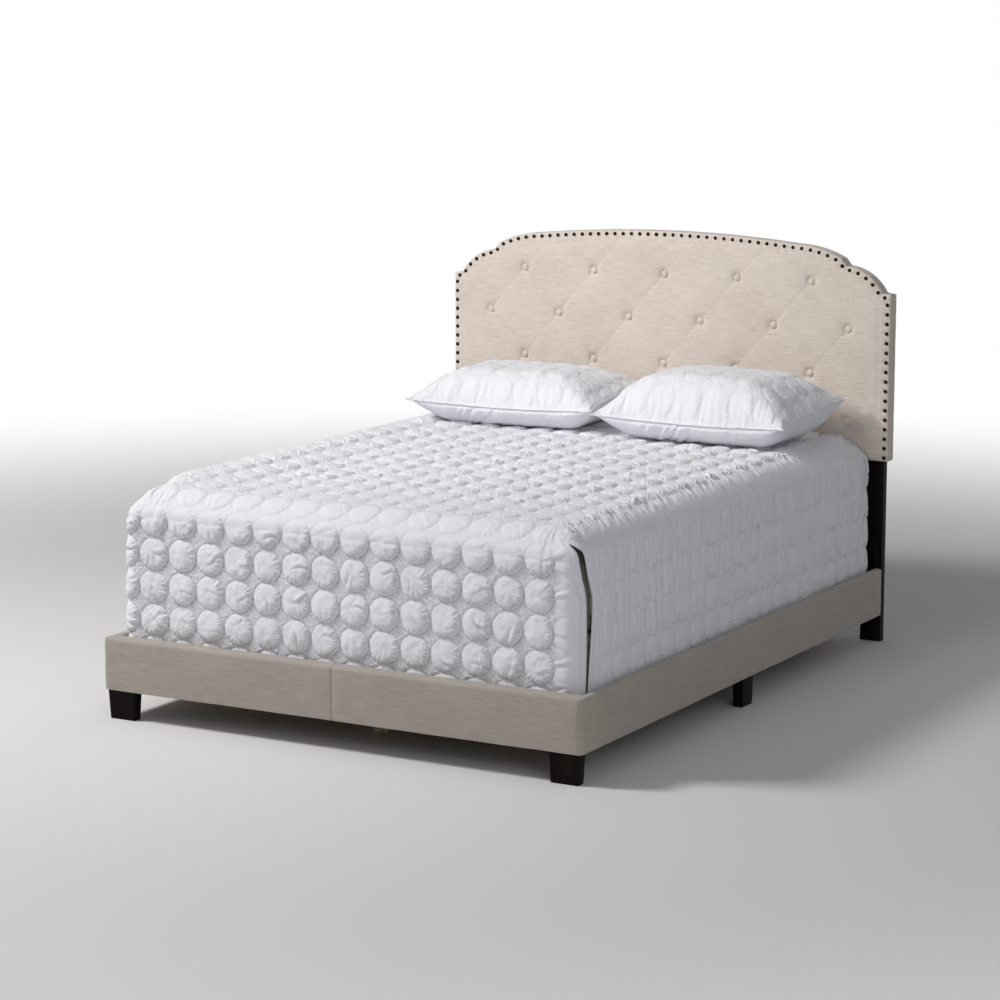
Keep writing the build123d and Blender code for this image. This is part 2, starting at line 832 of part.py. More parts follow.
fill_length = pillow_length - 2 * sham_edge
fill_depth = pillow_depth - 2 * sham_edge
fill_draw = pillow_draw * fill_depth / pillow_depth
seam_z = pillow_rest + pillow_seam_rise
for side_name, middle_x in pillow_middle.items():
    sham_size = (pillow_length, pillow_depth, pillow_draw)
    fill_size = (fill_length, fill_depth, fill_draw)
    outer_top = pillow_half(middle_x, seam_z, pillow_crown, *sham_size)
    outer_base = pillow_half(middle_x, seam_z, -pillow_seam_rise, *sham_size)
    fill_top = pillow_half(middle_x, seam_z, pillow_crown - sham_cloth, *fill_size)
    fill_base = pillow_half(middle_x, seam_z, sham_cloth - pillow_seam_rise, *fill_size)
    pillow = grouped([fill_top, fill_base])
    save(pillow, f"pillow_{side_name}")
    save(without(grouped([outer_top, outer_base]), pillow), f"sham_{side_name}")
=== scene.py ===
import math

import bpy
import numpy as np
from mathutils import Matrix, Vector


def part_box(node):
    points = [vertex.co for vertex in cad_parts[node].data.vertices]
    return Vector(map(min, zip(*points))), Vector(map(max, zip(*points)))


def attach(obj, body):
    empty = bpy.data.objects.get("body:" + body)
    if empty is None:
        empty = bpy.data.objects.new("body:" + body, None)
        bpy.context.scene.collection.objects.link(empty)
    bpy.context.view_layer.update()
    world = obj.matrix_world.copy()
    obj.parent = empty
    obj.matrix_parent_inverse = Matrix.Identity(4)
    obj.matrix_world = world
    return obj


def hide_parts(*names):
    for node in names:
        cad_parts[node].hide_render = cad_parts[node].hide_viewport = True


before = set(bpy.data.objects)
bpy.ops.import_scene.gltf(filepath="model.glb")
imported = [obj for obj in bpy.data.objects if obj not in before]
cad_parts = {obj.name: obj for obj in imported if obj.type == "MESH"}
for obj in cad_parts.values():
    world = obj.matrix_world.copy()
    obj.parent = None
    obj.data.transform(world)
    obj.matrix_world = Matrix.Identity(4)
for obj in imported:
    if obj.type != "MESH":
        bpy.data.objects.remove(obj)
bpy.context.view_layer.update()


# Boards inside the rails and the headboard.
# They are plywood and pine, cut square, screwed together and hidden by foam and linen once the bed is made.
PLYWOOD_LIGHT = (0.56, 0.40, 0.25)
PLYWOOD_DARK = (0.40, 0.26, 0.15)
PINE_LIGHT = (0.66, 0.48, 0.29)
PINE_DARK = (0.50, 0.32, 0.17)


def put(material, kind, settings=None, *values, **named):
    """Add one shader node; its sockets are set or linked in order and by name."""
    made = material.node_tree.nodes.new(kind)
    for key, value in (settings or {}).items():
        setattr(made, key, value)
    pairs = list(enumerate(values)) + [(key.replace("_", " "), value) for key, value in named.items()]
    for key, value in pairs:
        if isinstance(value, bpy.types.NodeSocket):
            material.node_tree.links.new(value, made.inputs[key])
        else:
            made.inputs[key].default_value = value
    return made


def new_finish(name, roughness, metallic=0.0, sheen=0.0):
    """Start a material and give back its shader."""
    material = bpy.data.materials.new(name)
    material.use_nodes = True
    shader = material.node_tree.nodes["Principled BSDF"]
    shader.inputs["Roughness"].default_value = roughness
    shader.inputs["Metallic"].default_value = metallic
    shader.inputs["Sheen Weight"].default_value = sheen
    return material, shader


def solid_place(material, scale):
    """Texture places in the solid itself, stretched by a scale per axis, in turns per metre."""
    place = put(material, "ShaderNodeTexCoord").outputs["Object"]
    return put(material, "ShaderNodeMapping", None, Vector=place, Scale=scale).outputs[0]


def grained(material, along, across, run):
    """Places in wood, fine across the grain and drawn out along it, 0 to 2 for X to Z."""
    scale = [across] * 3
    scale[along] = run
    return solid_place(material, scale)


def noise(material, place, detail=3.0, roughness=0.55, distortion=0.0):
    """Cloudy values, about a patch to each unit of the place."""
    return put(material, "ShaderNodeTexNoise", None, Vector=place, Scale=1.0, Detail=detail,
               Roughness=roughness, Distortion=distortion).outputs[0]


def combine(material, operation, *values):
    """One sum, product or other reckoning over values."""
    return put(material, "ShaderNodeMath", {"operation": operation}, *values).outputs[0]


def tones(material, factor, *stops):
    """Colour ramp over a value."""
    ramp = put(material, "ShaderNodeValToRGB", None, factor)
    ramp.color_ramp.elements[0].position = stops[0][0]
    ramp.color_ramp.elements[0].color = (*stops[0][1], 1)
    ramp.color_ramp.elements[1].position = stops[-1][0]
    ramp.color_ramp.elements[1].color = (*stops[-1][1], 1)
    for position, colour in stops[1:-1]:
        ramp.color_ramp.elements.new(position).color = (*colour, 1)
    return ramp.outputs[0]


def finish_with(material, shader, colour, bumps, roughness=None):
    """Join colour, a stack of bumps, each (height, strength, distance), and roughness to the shader."""
    links = material.node_tree.links
    links.new(colour, shader.inputs["Base Color"])
    if roughness is not None:
        links.new(roughness, shader.inputs["Roughness"])
    normal = None
    for height, strength, distance in bumps:
        bump = put(material, "ShaderNodeBump", None, Height=height, Strength=strength, Distance=distance)
        if normal is not None:
            links.new(normal, bump.inputs["Normal"])
        normal = bump.outputs[0]
    links.new(normal, shader.inputs["Normal"])
    return material


def sawn_wood(name, along, light, dark):
    """Sawn softwood or veneer whose grain runs along one axis, 0 to 2 for X to Z."""
    material, shader = new_finish(name, 0.62)
    grain = noise(material, grained(material, along, 55.0, 2.2), 5.0, 0.6, 0.6)
    pores = noise(material, grained(material, along, 900.0, 22.0), 2.0)
    mixed = combine(material, "ADD", grain, combine(material, "MULTIPLY_ADD", pores, 0.25, -0.12))
    bright = tuple(1.08 * channel for channel in light)
    colour = tones(material, mixed, (0.34, dark), (0.52, light), (0.72, bright))
    return finish_with(material, shader, colour, ((mixed, 0.35, 0.0006), (pores, 0.2, 0.0002)))


def dress(material, *names):
    """Give CAD nodes that stay in sight their material."""
    for name in names:
        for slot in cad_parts[name].material_slots:
            slot.material = material


dress(sawn_wood("plywood_along_bed", 1, PLYWOOD_LIGHT, PLYWOOD_DARK),
      *(f"side_rail_board_{side}_{end}" for side in ("left", "right") for end in ("front", "rear")))
dress(sawn_wood("plywood_across_bed", 0, PLYWOOD_LIGHT, PLYWOOD_DARK),
      "footboard_board_left", "footboard_board_right", "headboard_panel")
dress(sawn_wood("pine_upright", 2, PINE_LIGHT, PINE_DARK), "headboard_stile_left", "headboard_stile_right")
dress(sawn_wood("pine_across", 0, PINE_LIGHT, PINE_DARK),
      "headboard_bottom_rail", "headboard_mid_rail", "headboard_arch_rail")


# Foam over the boards.
# Open-cell upholstery foam, glued to the boards, a touch yellowed and with fine cells.
FOAM_LIGHT = (0.78, 0.70, 0.50)
FOAM_DARK = (0.62, 0.53, 0.34)


def cells(material, place):
    """Distance to the middle of the nearest cell, about a cell to each unit of the place."""
    return put(material, "ShaderNodeTexVoronoi", None, Vector=place, Scale=1.0).outputs[0]


def cut_foam():
    material, shader = new_finish("upholstery_foam", 0.95)
    pores = cells(material, solid_place(material, (650.0,) * 3))
    patches = noise(material, solid_place(material, (9.0,) * 3))
    colour = tones(material, patches, (0.3, FOAM_DARK), (0.65, FOAM_LIGHT))
    return finish_with(material, shader, colour, ((pores, 0.5, 0.0008),))


dress(cut_foam(), "headboard_foam", "side_rail_foams", "footboard_foams")


# Steel plates, angles, bolts, washers, nuts, studs and screws.
# Zinc-plated steel, pressed or turned, which ties the boards, posts, feet and slats together.
ZINC_LIGHT = (0.62, 0.62, 0.60)
ZINC_DARK = (0.40, 0.40, 0.40)


def mapped(material, value, low, high, to_low=0.0, to_high=1.0, kind="LINEAR"):
    """A value moved from one range to another and held at its ends."""
    settings = {"interpolation_type": kind}
    return put(material, "ShaderNodeMapRange", settings, value, low, high, to_low, to_high).outputs[0]


def zinc_steel():
    material, shader = new_finish("zinc_plated_steel", 0.38, metallic=1.0)
    spangle = noise(material, solid_place(material, (140.0,) * 3), 4.0, 0.6)
    scratches = noise(material, solid_place(material, (60.0, 60.0, 900.0)), 2.0)
    colour = tones(material, spangle, (0.35, ZINC_DARK), (0.65, ZINC_LIGHT))
    shine = mapped(material, scratches, 0.3, 0.7, 0.28, 0.5)
    return finish_with(material, shader, colour, ((scratches, 0.1, 0.0002),), shine)


dress(zinc_steel(), "footboard_join_plate", "side_join_plate_left", "side_join_plate_right",
      "corner_brackets", "frame_bolts", "leg_bolts", "leg_washers", "leg_tee_nuts", "foot_studs",
      "slat_screws")


# Posts behind the headboard, tapered feet under the rails.
# Solid wood, eased along its edges, stained near black and lacquered; the feet hold by studs in their tops.
ESPRESSO_DARK = (0.0018, 0.0013, 0.0011)
ESPRESSO_LIGHT = (0.0100, 0.0062, 0.0045)
EASED_EDGE = 0.0018
STAIN_GLOSS = 0.08
MELT_REACH = 0.00005


def espresso_stain():
    """Stained wood with upright grain."""
    material, shader = new_finish("espresso_upright", 0.5)
    shader.inputs["Specular IOR Level"].default_value = STAIN_GLOSS
    grain = noise(material, grained(material, 2, 70.0, 3.0), 5.0, 0.65, 0.8)
    pores = noise(material, grained(material, 2, 1100.0, 30.0), 2.0)
    colour = tones(material, grain, (0.36, ESPRESSO_DARK), (0.68, ESPRESSO_LIGHT))
    shine = mapped(material, grain, 0.3, 0.7, 0.42, 0.60)
    return finish_with(material, shader, colour, ((grain, 0.12, 0.0004), (pores, 0.2, 0.0002)), shine)


def link_piece(name, mesh):
    """Put a finished mesh into the scene, smoothly shaded."""
    piece = bpy.data.objects.new(name, mesh)
    bpy.context.scene.collection.objects.link(piece)
    mesh.shade_smooth()
    return piece


def settled(piece):
    """Apply every modifier of a piece, so that its own mesh is the final one."""
    shape = piece.evaluated_get(bpy.context.evaluated_depsgraph_get())
    mesh = bpy.data.meshes.new_from_object(shape)
    piece.modifiers.clear()
    piece.data = mesh
    mesh.name = piece.name
    return piece


def weld(piece, reach):
    """Join the points of a piece that lie within reach of each other."""
    piece.modifiers.new("weld", "WELD").merge_threshold = reach


def eased_copy(name, node):
    """A CAD block's own shape with its sharp edges eased."""
    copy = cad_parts[node].data.copy()
    copy.name = name
    piece = link_piece(name, copy)
    weld(piece, MELT_REACH)
    flat = piece.modifiers.new("flat", "DECIMATE")
    flat.decimate_type = "DISSOLVE"
    flat.angle_limit = math.radians(2)
    ease = piece.modifiers.new("ease", "BEVEL")
    ease.width = EASED_EDGE
    ease.segments = 3
    ease.limit_method = "ANGLE"
    ease.angle_limit = math.radians(50)
    ease.harden_normals = True
    return settled(piece)


stain = espresso_stain()
for side in ("left", "right"):
    for node in (f"front_foot_{side}", f"mid_foot_{side}", f"head_leg_{side}"):
        block = eased_copy(f"{node}_stained", node)
        block.data.materials.clear()
        block.data.materials.append(stain)
        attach(block, "bed_frame")
        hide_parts(node)


# Ledgers, slats and centre legs.
# Planed pine, left bare; the slats are screwed down to the ledgers and into a square leg at the middle.
dress(sawn_wood("planed_pine_ledgers", 1, PINE_LIGHT, PINE_DARK), "slat_ledgers")
dress(sawn_wood("planed_pine_slats", 0, PINE_LIGHT, PINE_DARK), *(f"slat_{number}" for number in range(1, 5)))
dress(sawn_wood("planed_pine_legs", 2, PINE_LIGHT, PINE_DARK), "centre_legs")


# Linen sleeves of the side rails and the footboard.
# Slubby beige linen pulled over foam round each board and stapled below; the halves butt in a plain seam.
LINEN_TONES = ((0.51, 0.437, 0.375), (0.64, 0.56, 0.492), (0.74, 0.66, 0.593))
# The rails' linen is the headboard's linen with every tone darkened by this share: painted shade, for the
# weaker light on the rails
RAIL_PAINTED_SHADE = 0.60
SLEEVE_CELL = 0.0075
SLEEVE_EASE = 0.0005
SLEEVE_MELT_REACH = 0.00002
SEAM_TUCK = 0.0016
FOOT_CORNER = 0.018
RAIL_EDGE = 0.009
SHARP_EDGE = 0.0015
# Radii of a sleeve's long edges: lower and upper at its high side, then upper and lower at its low side
SIDE_RAIL_EDGES = (SHARP_EDGE, RAIL_EDGE, RAIL_EDGE, SHARP_EDGE)
FOOTBOARD_EDGES = (SHARP_EDGE, SHARP_EDGE, RAIL_EDGE, SHARP_EDGE)
# The front's bulge, how far from the long edges and the ends it takes to rise, and how deep the front reaches
RAIL_BULGE = 0.0022
BULGE_FROM_EDGE = 0.05
BULGE_FROM_END = 0.03
FRONT_DEPTH = 0.012
# Slack of the cloth all along, and the finer slack beside a seam: height and size of its waves
RAIL_SLACK = (0.0011, 0.075)
SEAM_SLACK = (0.0006, 0.022)
SEAM_SLACK_RUN = 0.09


def cloth_place(material, s=1.0, t=1.0):
    """Places on the flat cloth, in metres, multiplied by a scale along and across it."""
    place = put(material, "ShaderNodeAttribute", {"attribute_name": "cloth"}).outputs["Vector"]
    return put(material, "ShaderNodeMapping", None, Vector=place, Scale=(s, t, 1.0)).outputs[0]


def bands(material, direction, scale):
    """Even bands over the cloth, across X, Y or the DIAGONAL."""
    settings = {"bands_direction": direction}
    return put(material, "ShaderNodeTexWave", settings, Vector=cloth_place(material), Scale=scale).outputs[1]


def linen_cloth(name, shade):
    """Plain weave with long horizontal slubs."""
    # A shade below 1 darkens every tone as painted shade; the rails' copy takes it
    dark, middle, light = (tuple(value * shade for value in tone) for tone in LINEN_TONES)
    material, shader = new_finish(name, 0.88, sheen=0.12)
    slubs = noise(material, cloth_place(material, 16.0, 430.0), 4.0, 0.62)
    warp = noise(material, cloth_place(material, 620.0, 34.0), 2.0, 0.5)
    patches = noise(material, cloth_place(material, 5.0, 7.0), 2.0)
    weave = combine(material, "ADD", bands(material, "Y", 260.0), bands(material, "X", 300.0))
    threads = combine(material, "ADD", slubs, combine(material, "MULTIPLY", warp, 0.45))
    toned = combine(material, "ADD", threads, combine(material, "MULTIPLY", patches, 0.25))
    colour = tones(material, toned, (0.58, dark), (0.80, middle), (1.0, light))
    return finish_with(material, shader, colour,
                       ((slubs, 0.35, 0.0007), (warp, 0.2, 0.0003), (weave, 0.12, 0.0003)))


linen = linen_cloth("headboard_linen_cloth", 1.0)
# The rails' copy of the same linen is darkened as painted shade
rail_linen = linen_cloth("rail_linen_painted_shade", RAIL_PAINTED_SHADE)


def value_noise(s, t, size, seed):
    """Smooth random values from 0 to 1 on a square lattice of the given size."""
    table = np.random.default_rng(seed).random((256, 256))
    s, t = np.asarray(s) / size, np.asarray(t) / size
    i, j = np.floor(s).astype(int), np.floor(t).astype(int)
    a, b = s - i, t - j
    a, b = a * a * (3 - 2 * a), b * b * (3 - 2 * b)

    def corner(di, dj):
        return table[(i + di) % 256, (j + dj) % 256]

    low = corner(0, 0) * (1 - a) + corner(1, 0) * a
    high = corner(0, 1) * (1 - a) + corner(1, 1) * a
    return low * (1 - b) + high * b


def rumple(rise, s, t, size, seed):
    """Random waves of a full height, half up and half down."""
    return rise * (value_noise(s, t, size, seed) - 0.5)


def smooth_step(low, high, value):
    """Share that eases from 0 at low to 1 at high."""
    share = np.clip((value - low) / (high - low), 0, 1)
    return share * share * (3 - 2 * share)


def read_vectors(items, key):
    flat = np.zeros(len(items) * 3, np.float32)
    items.foreach_get(key, flat)
    return flat.reshape(-1, 3).astype(float)


def points_of(mesh):
    return read_vectors(mesh.vertices, "co")


def normals_of(mesh):
    return read_vectors(mesh.vertex_normals, "vector")


def set_points(mesh, points):
    mesh.vertices.foreach_set("co", points.astype(np.float32).ravel())
    mesh.update()


def lay_cloth(mesh, s, t):
    """Store each point's place on the flat cloth, in metres, for the weave to follow."""
    layer = mesh.attributes.new("cloth", "FLOAT_VECTOR", "POINT")
    layer.data.foreach_set("vector", np.stack([s, t, 0 * s], 1).astype(np.float32).ravel())


def grid_faces(index, back=False):
    """Faces of a grid of point numbers; back turns them over."""
    faces = np.stack([index[:-1, :-1], index[1:, :-1], index[1:, 1:], index[:-1, 1:]], -1).reshape(-1, 4)
    return faces[:, (0, 3, 2, 1)] if back else faces


def new_piece(name, points, faces):
    """Put a mesh of the given points and faces into the scene."""
    mesh = bpy.data.meshes.new(name)
    mesh.from_pydata(np.asarray(points).tolist(), [], faces if isinstance(faces, list) else faces.tolist())
    return link_piece(name, mesh)


def rounded_loop(low, high, radii, cell):
    """Closed rounded rectangle from its right lower corner: points, outward directions and distance run."""
    signs = ((1, -1), (1, 1), (-1, 1), (-1, -1))
    ends = (np.array(high) - low) / 2, (np.array(high) + low) / 2
    corners = [ends[1] + sign * (ends[0] - radius) for sign, radius in zip(signs, radii)]
    points, outward = [], []
    for number, (corner, radius) in enumerate(zip(corners, radii)):
        for turn in np.linspace(0, 1, max(round(radius * math.pi / 2 / cell), 5) + 1):
            angle = math.pi / 2 * (number - 1 + turn)
            outward.append((math.cos(angle), math.sin(angle)))
            points.append(corner + radius * np.array(outward[-1]))
        after = (number + 1) % 4
        ahead = corners[after] + radii[after] * np.array(outward[-1])
        steps = max(round(math.dist(points[-1], ahead) / cell), 1)
        here = points[-1]
        for step in range(1, steps):
            points.append(here + (ahead - here) * step / steps)
            outward.append(outward[-1])
    points, outward = np.array(points), np.array(outward)
    return points, outward, np.concatenate([[0], np.cumsum(np.hypot(*np.diff(points, axis=0).T))])


def edge_inset(distance, radius):
    """How far a rounded edge lies in at a distance from the end."""
    return radius - np.sqrt(np.maximum(radius ** 2 - np.maximum(radius - distance, 0) ** 2, 0))


def padded_sleeve(name, low, high, front_axis, front_sign, radii, round_end, seed):
    """Sleeve drawn over foam: edges rounded, the outer face bulging, the ends tucked in where halves meet.

    The front faces along its axis by its sign. The end that round_end names by its sign rounds the bed's
    corner instead of meeting another half.
    """
    low, high = np.array(low), np.array(high)
    along_axis = 1 - front_axis
    length = high[along_axis] - low[along_axis]
    loop, _, _ = rounded_loop((low[front_axis], low[2]), (high[front_axis], high[2]), radii, SLEEVE_CELL)
    tucked = SEAM_TUCK * (1 - np.cos(np.linspace(0, math.pi / 2, 5)))
    rounded = FOOT_CORNER * (1 - np.cos(np.linspace(0, math.pi / 2, 12)))
    start, finish = rounded if round_end < 0 else tucked, rounded if round_end > 0 else tucked
    between = np.linspace(start[-1], length - finish[-1], round(length / SLEEVE_CELL))[1:-1]
    runs = np.concatenate([start, between, length - finish[::-1]])
    to_low, to_high = runs, length - runs
    to_round = to_low if round_end < 0 else to_high if round_end > 0 else 1 + 0 * runs
    tuck = edge_inset(np.minimum(to_low, to_high), SEAM_TUCK) * (to_round > FOOT_CORNER)
    width, height = high[front_axis] - low[front_axis], high[2] - low[2]
    back = low[front_axis] if front_sign > 0 else high[front_axis]
    rings = []
    for run, all_in, front_in, top_in in zip(runs, tuck, edge_inset(to_round, FOOT_CORNER),
                                             edge_inset(to_round, RAIL_EDGE)):
        ring = np.empty((len(loop), 3))
        ring[:, along_axis] = low[along_axis] + run
        ring[:, front_axis] = back + (loop[:, 0] - back) * (1 - (front_in + all_in) / width)
        ring[:, 2] = low[2] + (loop[:, 1] - low[2]) * (1 - (top_in + all_in) / height)
        rings.append(ring)
    for end in (0, -1):
        middle = (rings[end].min(0) + rings[end].max(0)) / 2
        closing = [middle + (rings[end] - middle) * share for share in (0.93, 0.7, 0.4, 0.0)]
        rings = closing[::-1] + rings if end == 0 else rings + closing
    points = np.concatenate(rings)
    index = np.arange(len(points)).reshape(len(rings), len(loop))
    piece = new_piece(name, points, grid_faces(np.pad(index, ((0, 0), (0, 1)), "wrap")))
    weld(piece, SLEEVE_MELT_REACH)
    mesh = settled(piece).data
    outward_faces(mesh)
    points, normals = points_of(mesh), normals_of(mesh)
    front_value = high[front_axis] if front_sign > 0 else low[front_axis]
    depth = np.abs(points[:, front_axis] - front_value)
    run, level = points[:, along_axis], points[:, 2]
    to_end = np.minimum(run - low[along_axis], high[along_axis] - run)
    to_rim = np.minimum(level - low[2], high[2] - level)
    bulge = RAIL_BULGE * smooth_step(0, BULGE_FROM_EDGE, to_rim) * smooth_step(0, BULGE_FROM_END, to_end)
    slack = rumple(RAIL_SLACK[0], run, level * 1.7, RAIL_SLACK[1], seed)
    beside_seam = smooth_step(SEAM_SLACK_RUN, 0.0, to_end)
    slack += rumple(SEAM_SLACK[0], run, level, SEAM_SLACK[1], seed + 1) * beside_seam
    ease = SLEEVE_EASE * smooth_step(0, 0.004, to_end)
    points += normals * (ease + bulge * (depth < FRONT_DEPTH) + slack)[:, None]
    set_points(mesh, points)
    side_turn = round(math.copysign(1, low[along_axis] + high[along_axis]))
    lay_cloth(mesh, run * side_turn + depth * np.abs(normals[:, along_axis]),
              level + depth * np.abs(normals[:, 2]))
    mesh.materials.append(rail_linen)
    return piece


def outward_faces(mesh):
    """Turn a closed mesh's faces outward."""
    points = points_of(mesh)
    mesh.calc_loop_triangles()
    corners = np.zeros(len(mesh.loop_triangles) * 3, np.int32)
    mesh.loop_triangles.foreach_get("vertices", corners)
    a, b, c = (points[corners.reshape(-1, 3)[:, k]] for k in range(3))
    if (a * np.cross(b, c)).sum() < 0:
        mesh.flip_normals()


for side, sign in (("left", -1), ("right", 1)):
    covers = [(f"side_rail_cover_{side}_{end}", 0, sign, SIDE_RAIL_EDGES, 0, 11 + sign + 2 * (end == "rear"))
              for end in ("front", "rear")]
    covers.append((f"footboard_cover_{side}", 1, -1, FOOTBOARD_EDGES, sign, 21 + sign))
    for node, *shape in covers:
        sleeve = padded_sleeve(f"{node}_linen", *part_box(node), *shape)
        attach(sleeve, "bed_frame")
        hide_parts(node)


# Headboard cover.
# One piece of linen over foam on the arched panel, pulled in by buttons with faint pleats between them, and
# nailed down along its sides and top.
cover_low, cover_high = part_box("headboard_cover")
HEAD_HALF, HEAD_BACK, HEAD_TOP = cover_high
_, HEAD_FACE, HEAD_BOTTOM = cover_low
HEAD_DEPTH = HEAD_BACK - HEAD_FACE
HEAD_SHOULDER = HEAD_TOP - 0.177
HEAD_ROUND = 0.008
HEAD_STEP = 0.0045
# Where the cloth turns in behind: how far in from the edge, and how far short of the back
BACK_TURN = ((0.0006, 0.0004), (0.002, 0), (0.008, 0), (0.015, 0))
CORNER_SPREAD = 1.25
# The outline's corners and arc points, as shares of the half width and of the rise above the ledge
LEDGE_SHARE = (0.963, 0.03)
SHOULDER_ARC_SHARE = (0.913, 0.305)
STEP_FOOT_SHARE = (0.807, 0.503)
STEP_HEAD_SHARE = (0.785, 0.633)
ARCH_CORNER_SHARE = (0.727, 0.746)
ARCH_END_SHARE = (0.587, 0.862)


def crest(share):
    return np.array((HEAD_HALF * share[0], HEAD_SHOULDER + (HEAD_TOP - HEAD_SHOULDER) * share[1]))


def arc_height(x, first, middle, last):
    """Height of the upper arc through three points."""
    (ax, az), (bx, bz), (cx, cz) = first, middle, last
    d = 2 * (ax * (bz - cz) + bx * (cz - az) + cx * (az - bz))
    a2, b2, c2 = ax * ax + az * az, bx * bx + bz * bz, cx * cx + cz * cz
    ox = (a2 * (bz - cz) + b2 * (cz - az) + c2 * (az - bz)) / d
    oz = (a2 * (cx - bx) + b2 * (ax - cx) + c2 * (bx - ax)) / d
    return oz + np.sqrt(np.maximum((ax - ox) ** 2 + (az - oz) ** 2 - (x - ox) ** 2, 0))


def head_outline(x):
    """Height of the headboard's top edge at a distance from the middle."""
    x = np.abs(x)
    ledge, shoulder, foot = crest(LEDGE_SHARE), crest(SHOULDER_ARC_SHARE), crest(STEP_FOOT_SHARE)
    head, corner, end = crest(STEP_HEAD_SHARE), crest(ARCH_CORNER_SHARE), crest(ARCH_END_SHARE)
    mirrored_end = end * (-1, 1)
    return np.select(
        [x > ledge[0], x > foot[0], x > head[0], x > end[0]],
        [HEAD_SHOULDER + (ledge[1] - HEAD_SHOULDER) * (HEAD_HALF - x) / (HEAD_HALF - ledge[0]),
         arc_height(x, ledge, shoulder, foot),
         foot[1] + (head[1] - foot[1]) * (foot[0] - x) / (foot[0] - head[0]),
         arc_height(x, head, corner, end)],
        arc_height(x, mirrored_end, np.array((0, HEAD_TOP)), end))


# The padding starts at the nails and is full at a distance from the edge
PAD_RUN = (0.014, 0.055)
FIELD_BULGE = 0.0050
# Each button draws a steep pit into the middle of a wide, shallow dimple
BUTTON_SINK = 0.0062
DIMPLE_SPREAD = 0.027
PIT_SPREAD = 0.0175
# Buttons are neighbours within these distances across and up; pleats that lean right are fainter
NEIGHBOUR_ACROSS = (0.10, 0.17)
NEIGHBOUR_UP = (0.12, 0.18)
PLEAT_RIGHT = 1.0
PLEAT_LEFT = 1.35
PLEAT_TOP = 0.85
# The top row's pleats end this far aside, this far below the outline, and only within the arch
TOP_PLEAT_ASIDE = 0.115
TOP_PLEAT_SHORT = 0.02
ARCH_REACH = 0.64
# A pleat's crease, the lip beside it and the hollow round it: depth, half width and place beside the line
PLEAT_CREASE = (0.0023, 0.0040, 0)
PLEAT_LIP = (-0.0007, 0.007, 0.0095)
PLEAT_HOLLOW = (0.0011, 0.022, 0)
PLEAT_REACH = 0.04
PLEAT_WANDER = 0.004
# The nails sink into a raised band along the edge, and the cloth stands up between them: size and half width
NAIL_DIMPLE = (0.0025, 0.0085)
NAIL_BAND = (0.0016, 0.008)
BAND_FROM_EDGE = 0.013
SCALLOP = (0.0028, 0.009)
SCALLOP_FROM_EDGE = 0.024
SCALLOP_GAP = 0.015
HEAD_SLACK = (0.0009, 0.09)
SIDE_SLACK = (0.0008, 0.03)
FASTENER_REACH = 0.028


def loose_centres(node):
    """Middle of each separate solid of a node, each lying well apart from the next."""
    points = points_of(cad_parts[node].data)
    free = np.ones(len(points), bool)
    centres = []
    for index in np.lexsort((points[:, 0], points[:, 2])):
        if free[index]:
            reach = np.hypot(points[:, 0] - points[index, 0], points[:, 2] - points[index, 2])
            near = free & (reach < FASTENER_REACH)
            free[near] = False
            centres.append((points[near].min(0) + points[near].max(0)) / 2)
    return np.array(centres)


button_centres = loose_centres("headboard_buttons")
nail_centres = loose_centres("headboard_nails")


def nearest(points, centres):
    """Distance to the nearest of a few centres, in the headboard's plane."""
    best = np.full(len(points), np.inf)
    for centre in centres:
        best = np.minimum(best, np.hypot(points[:, 0] - centre[0], points[:, 2] - centre[2]))
    return best


def hump(distance, width):
    """Share that is 1 on a line and dies out at about a width to either side."""
    return np.exp(-(distance / width) ** 2)


def pleat_lines():
    """Pairs of neighbouring buttons, and the short runs from the top row up to the nails."""
    lines = []
    for ax, _, az in button_centres:
        for bx, _, bz in button_centres:
            across, up = bx - ax, bz - az
            least, most = NEIGHBOUR_ACROSS
            if least < abs(across) < most and NEIGHBOUR_UP[0] < up < NEIGHBOUR_UP[1]:
                lines.append((ax, az, bx, bz, PLEAT_RIGHT if across > 0 else PLEAT_LEFT))
        if az > button_centres[:, 2].max() - 0.01:
            for end_x in (ax - TOP_PLEAT_ASIDE, ax + TOP_PLEAT_ASIDE):
                if abs(end_x) < ARCH_REACH:
                    lines.append((ax, az, end_x, head_outline(end_x) - TOP_PLEAT_SHORT, PLEAT_TOP))
    return lines


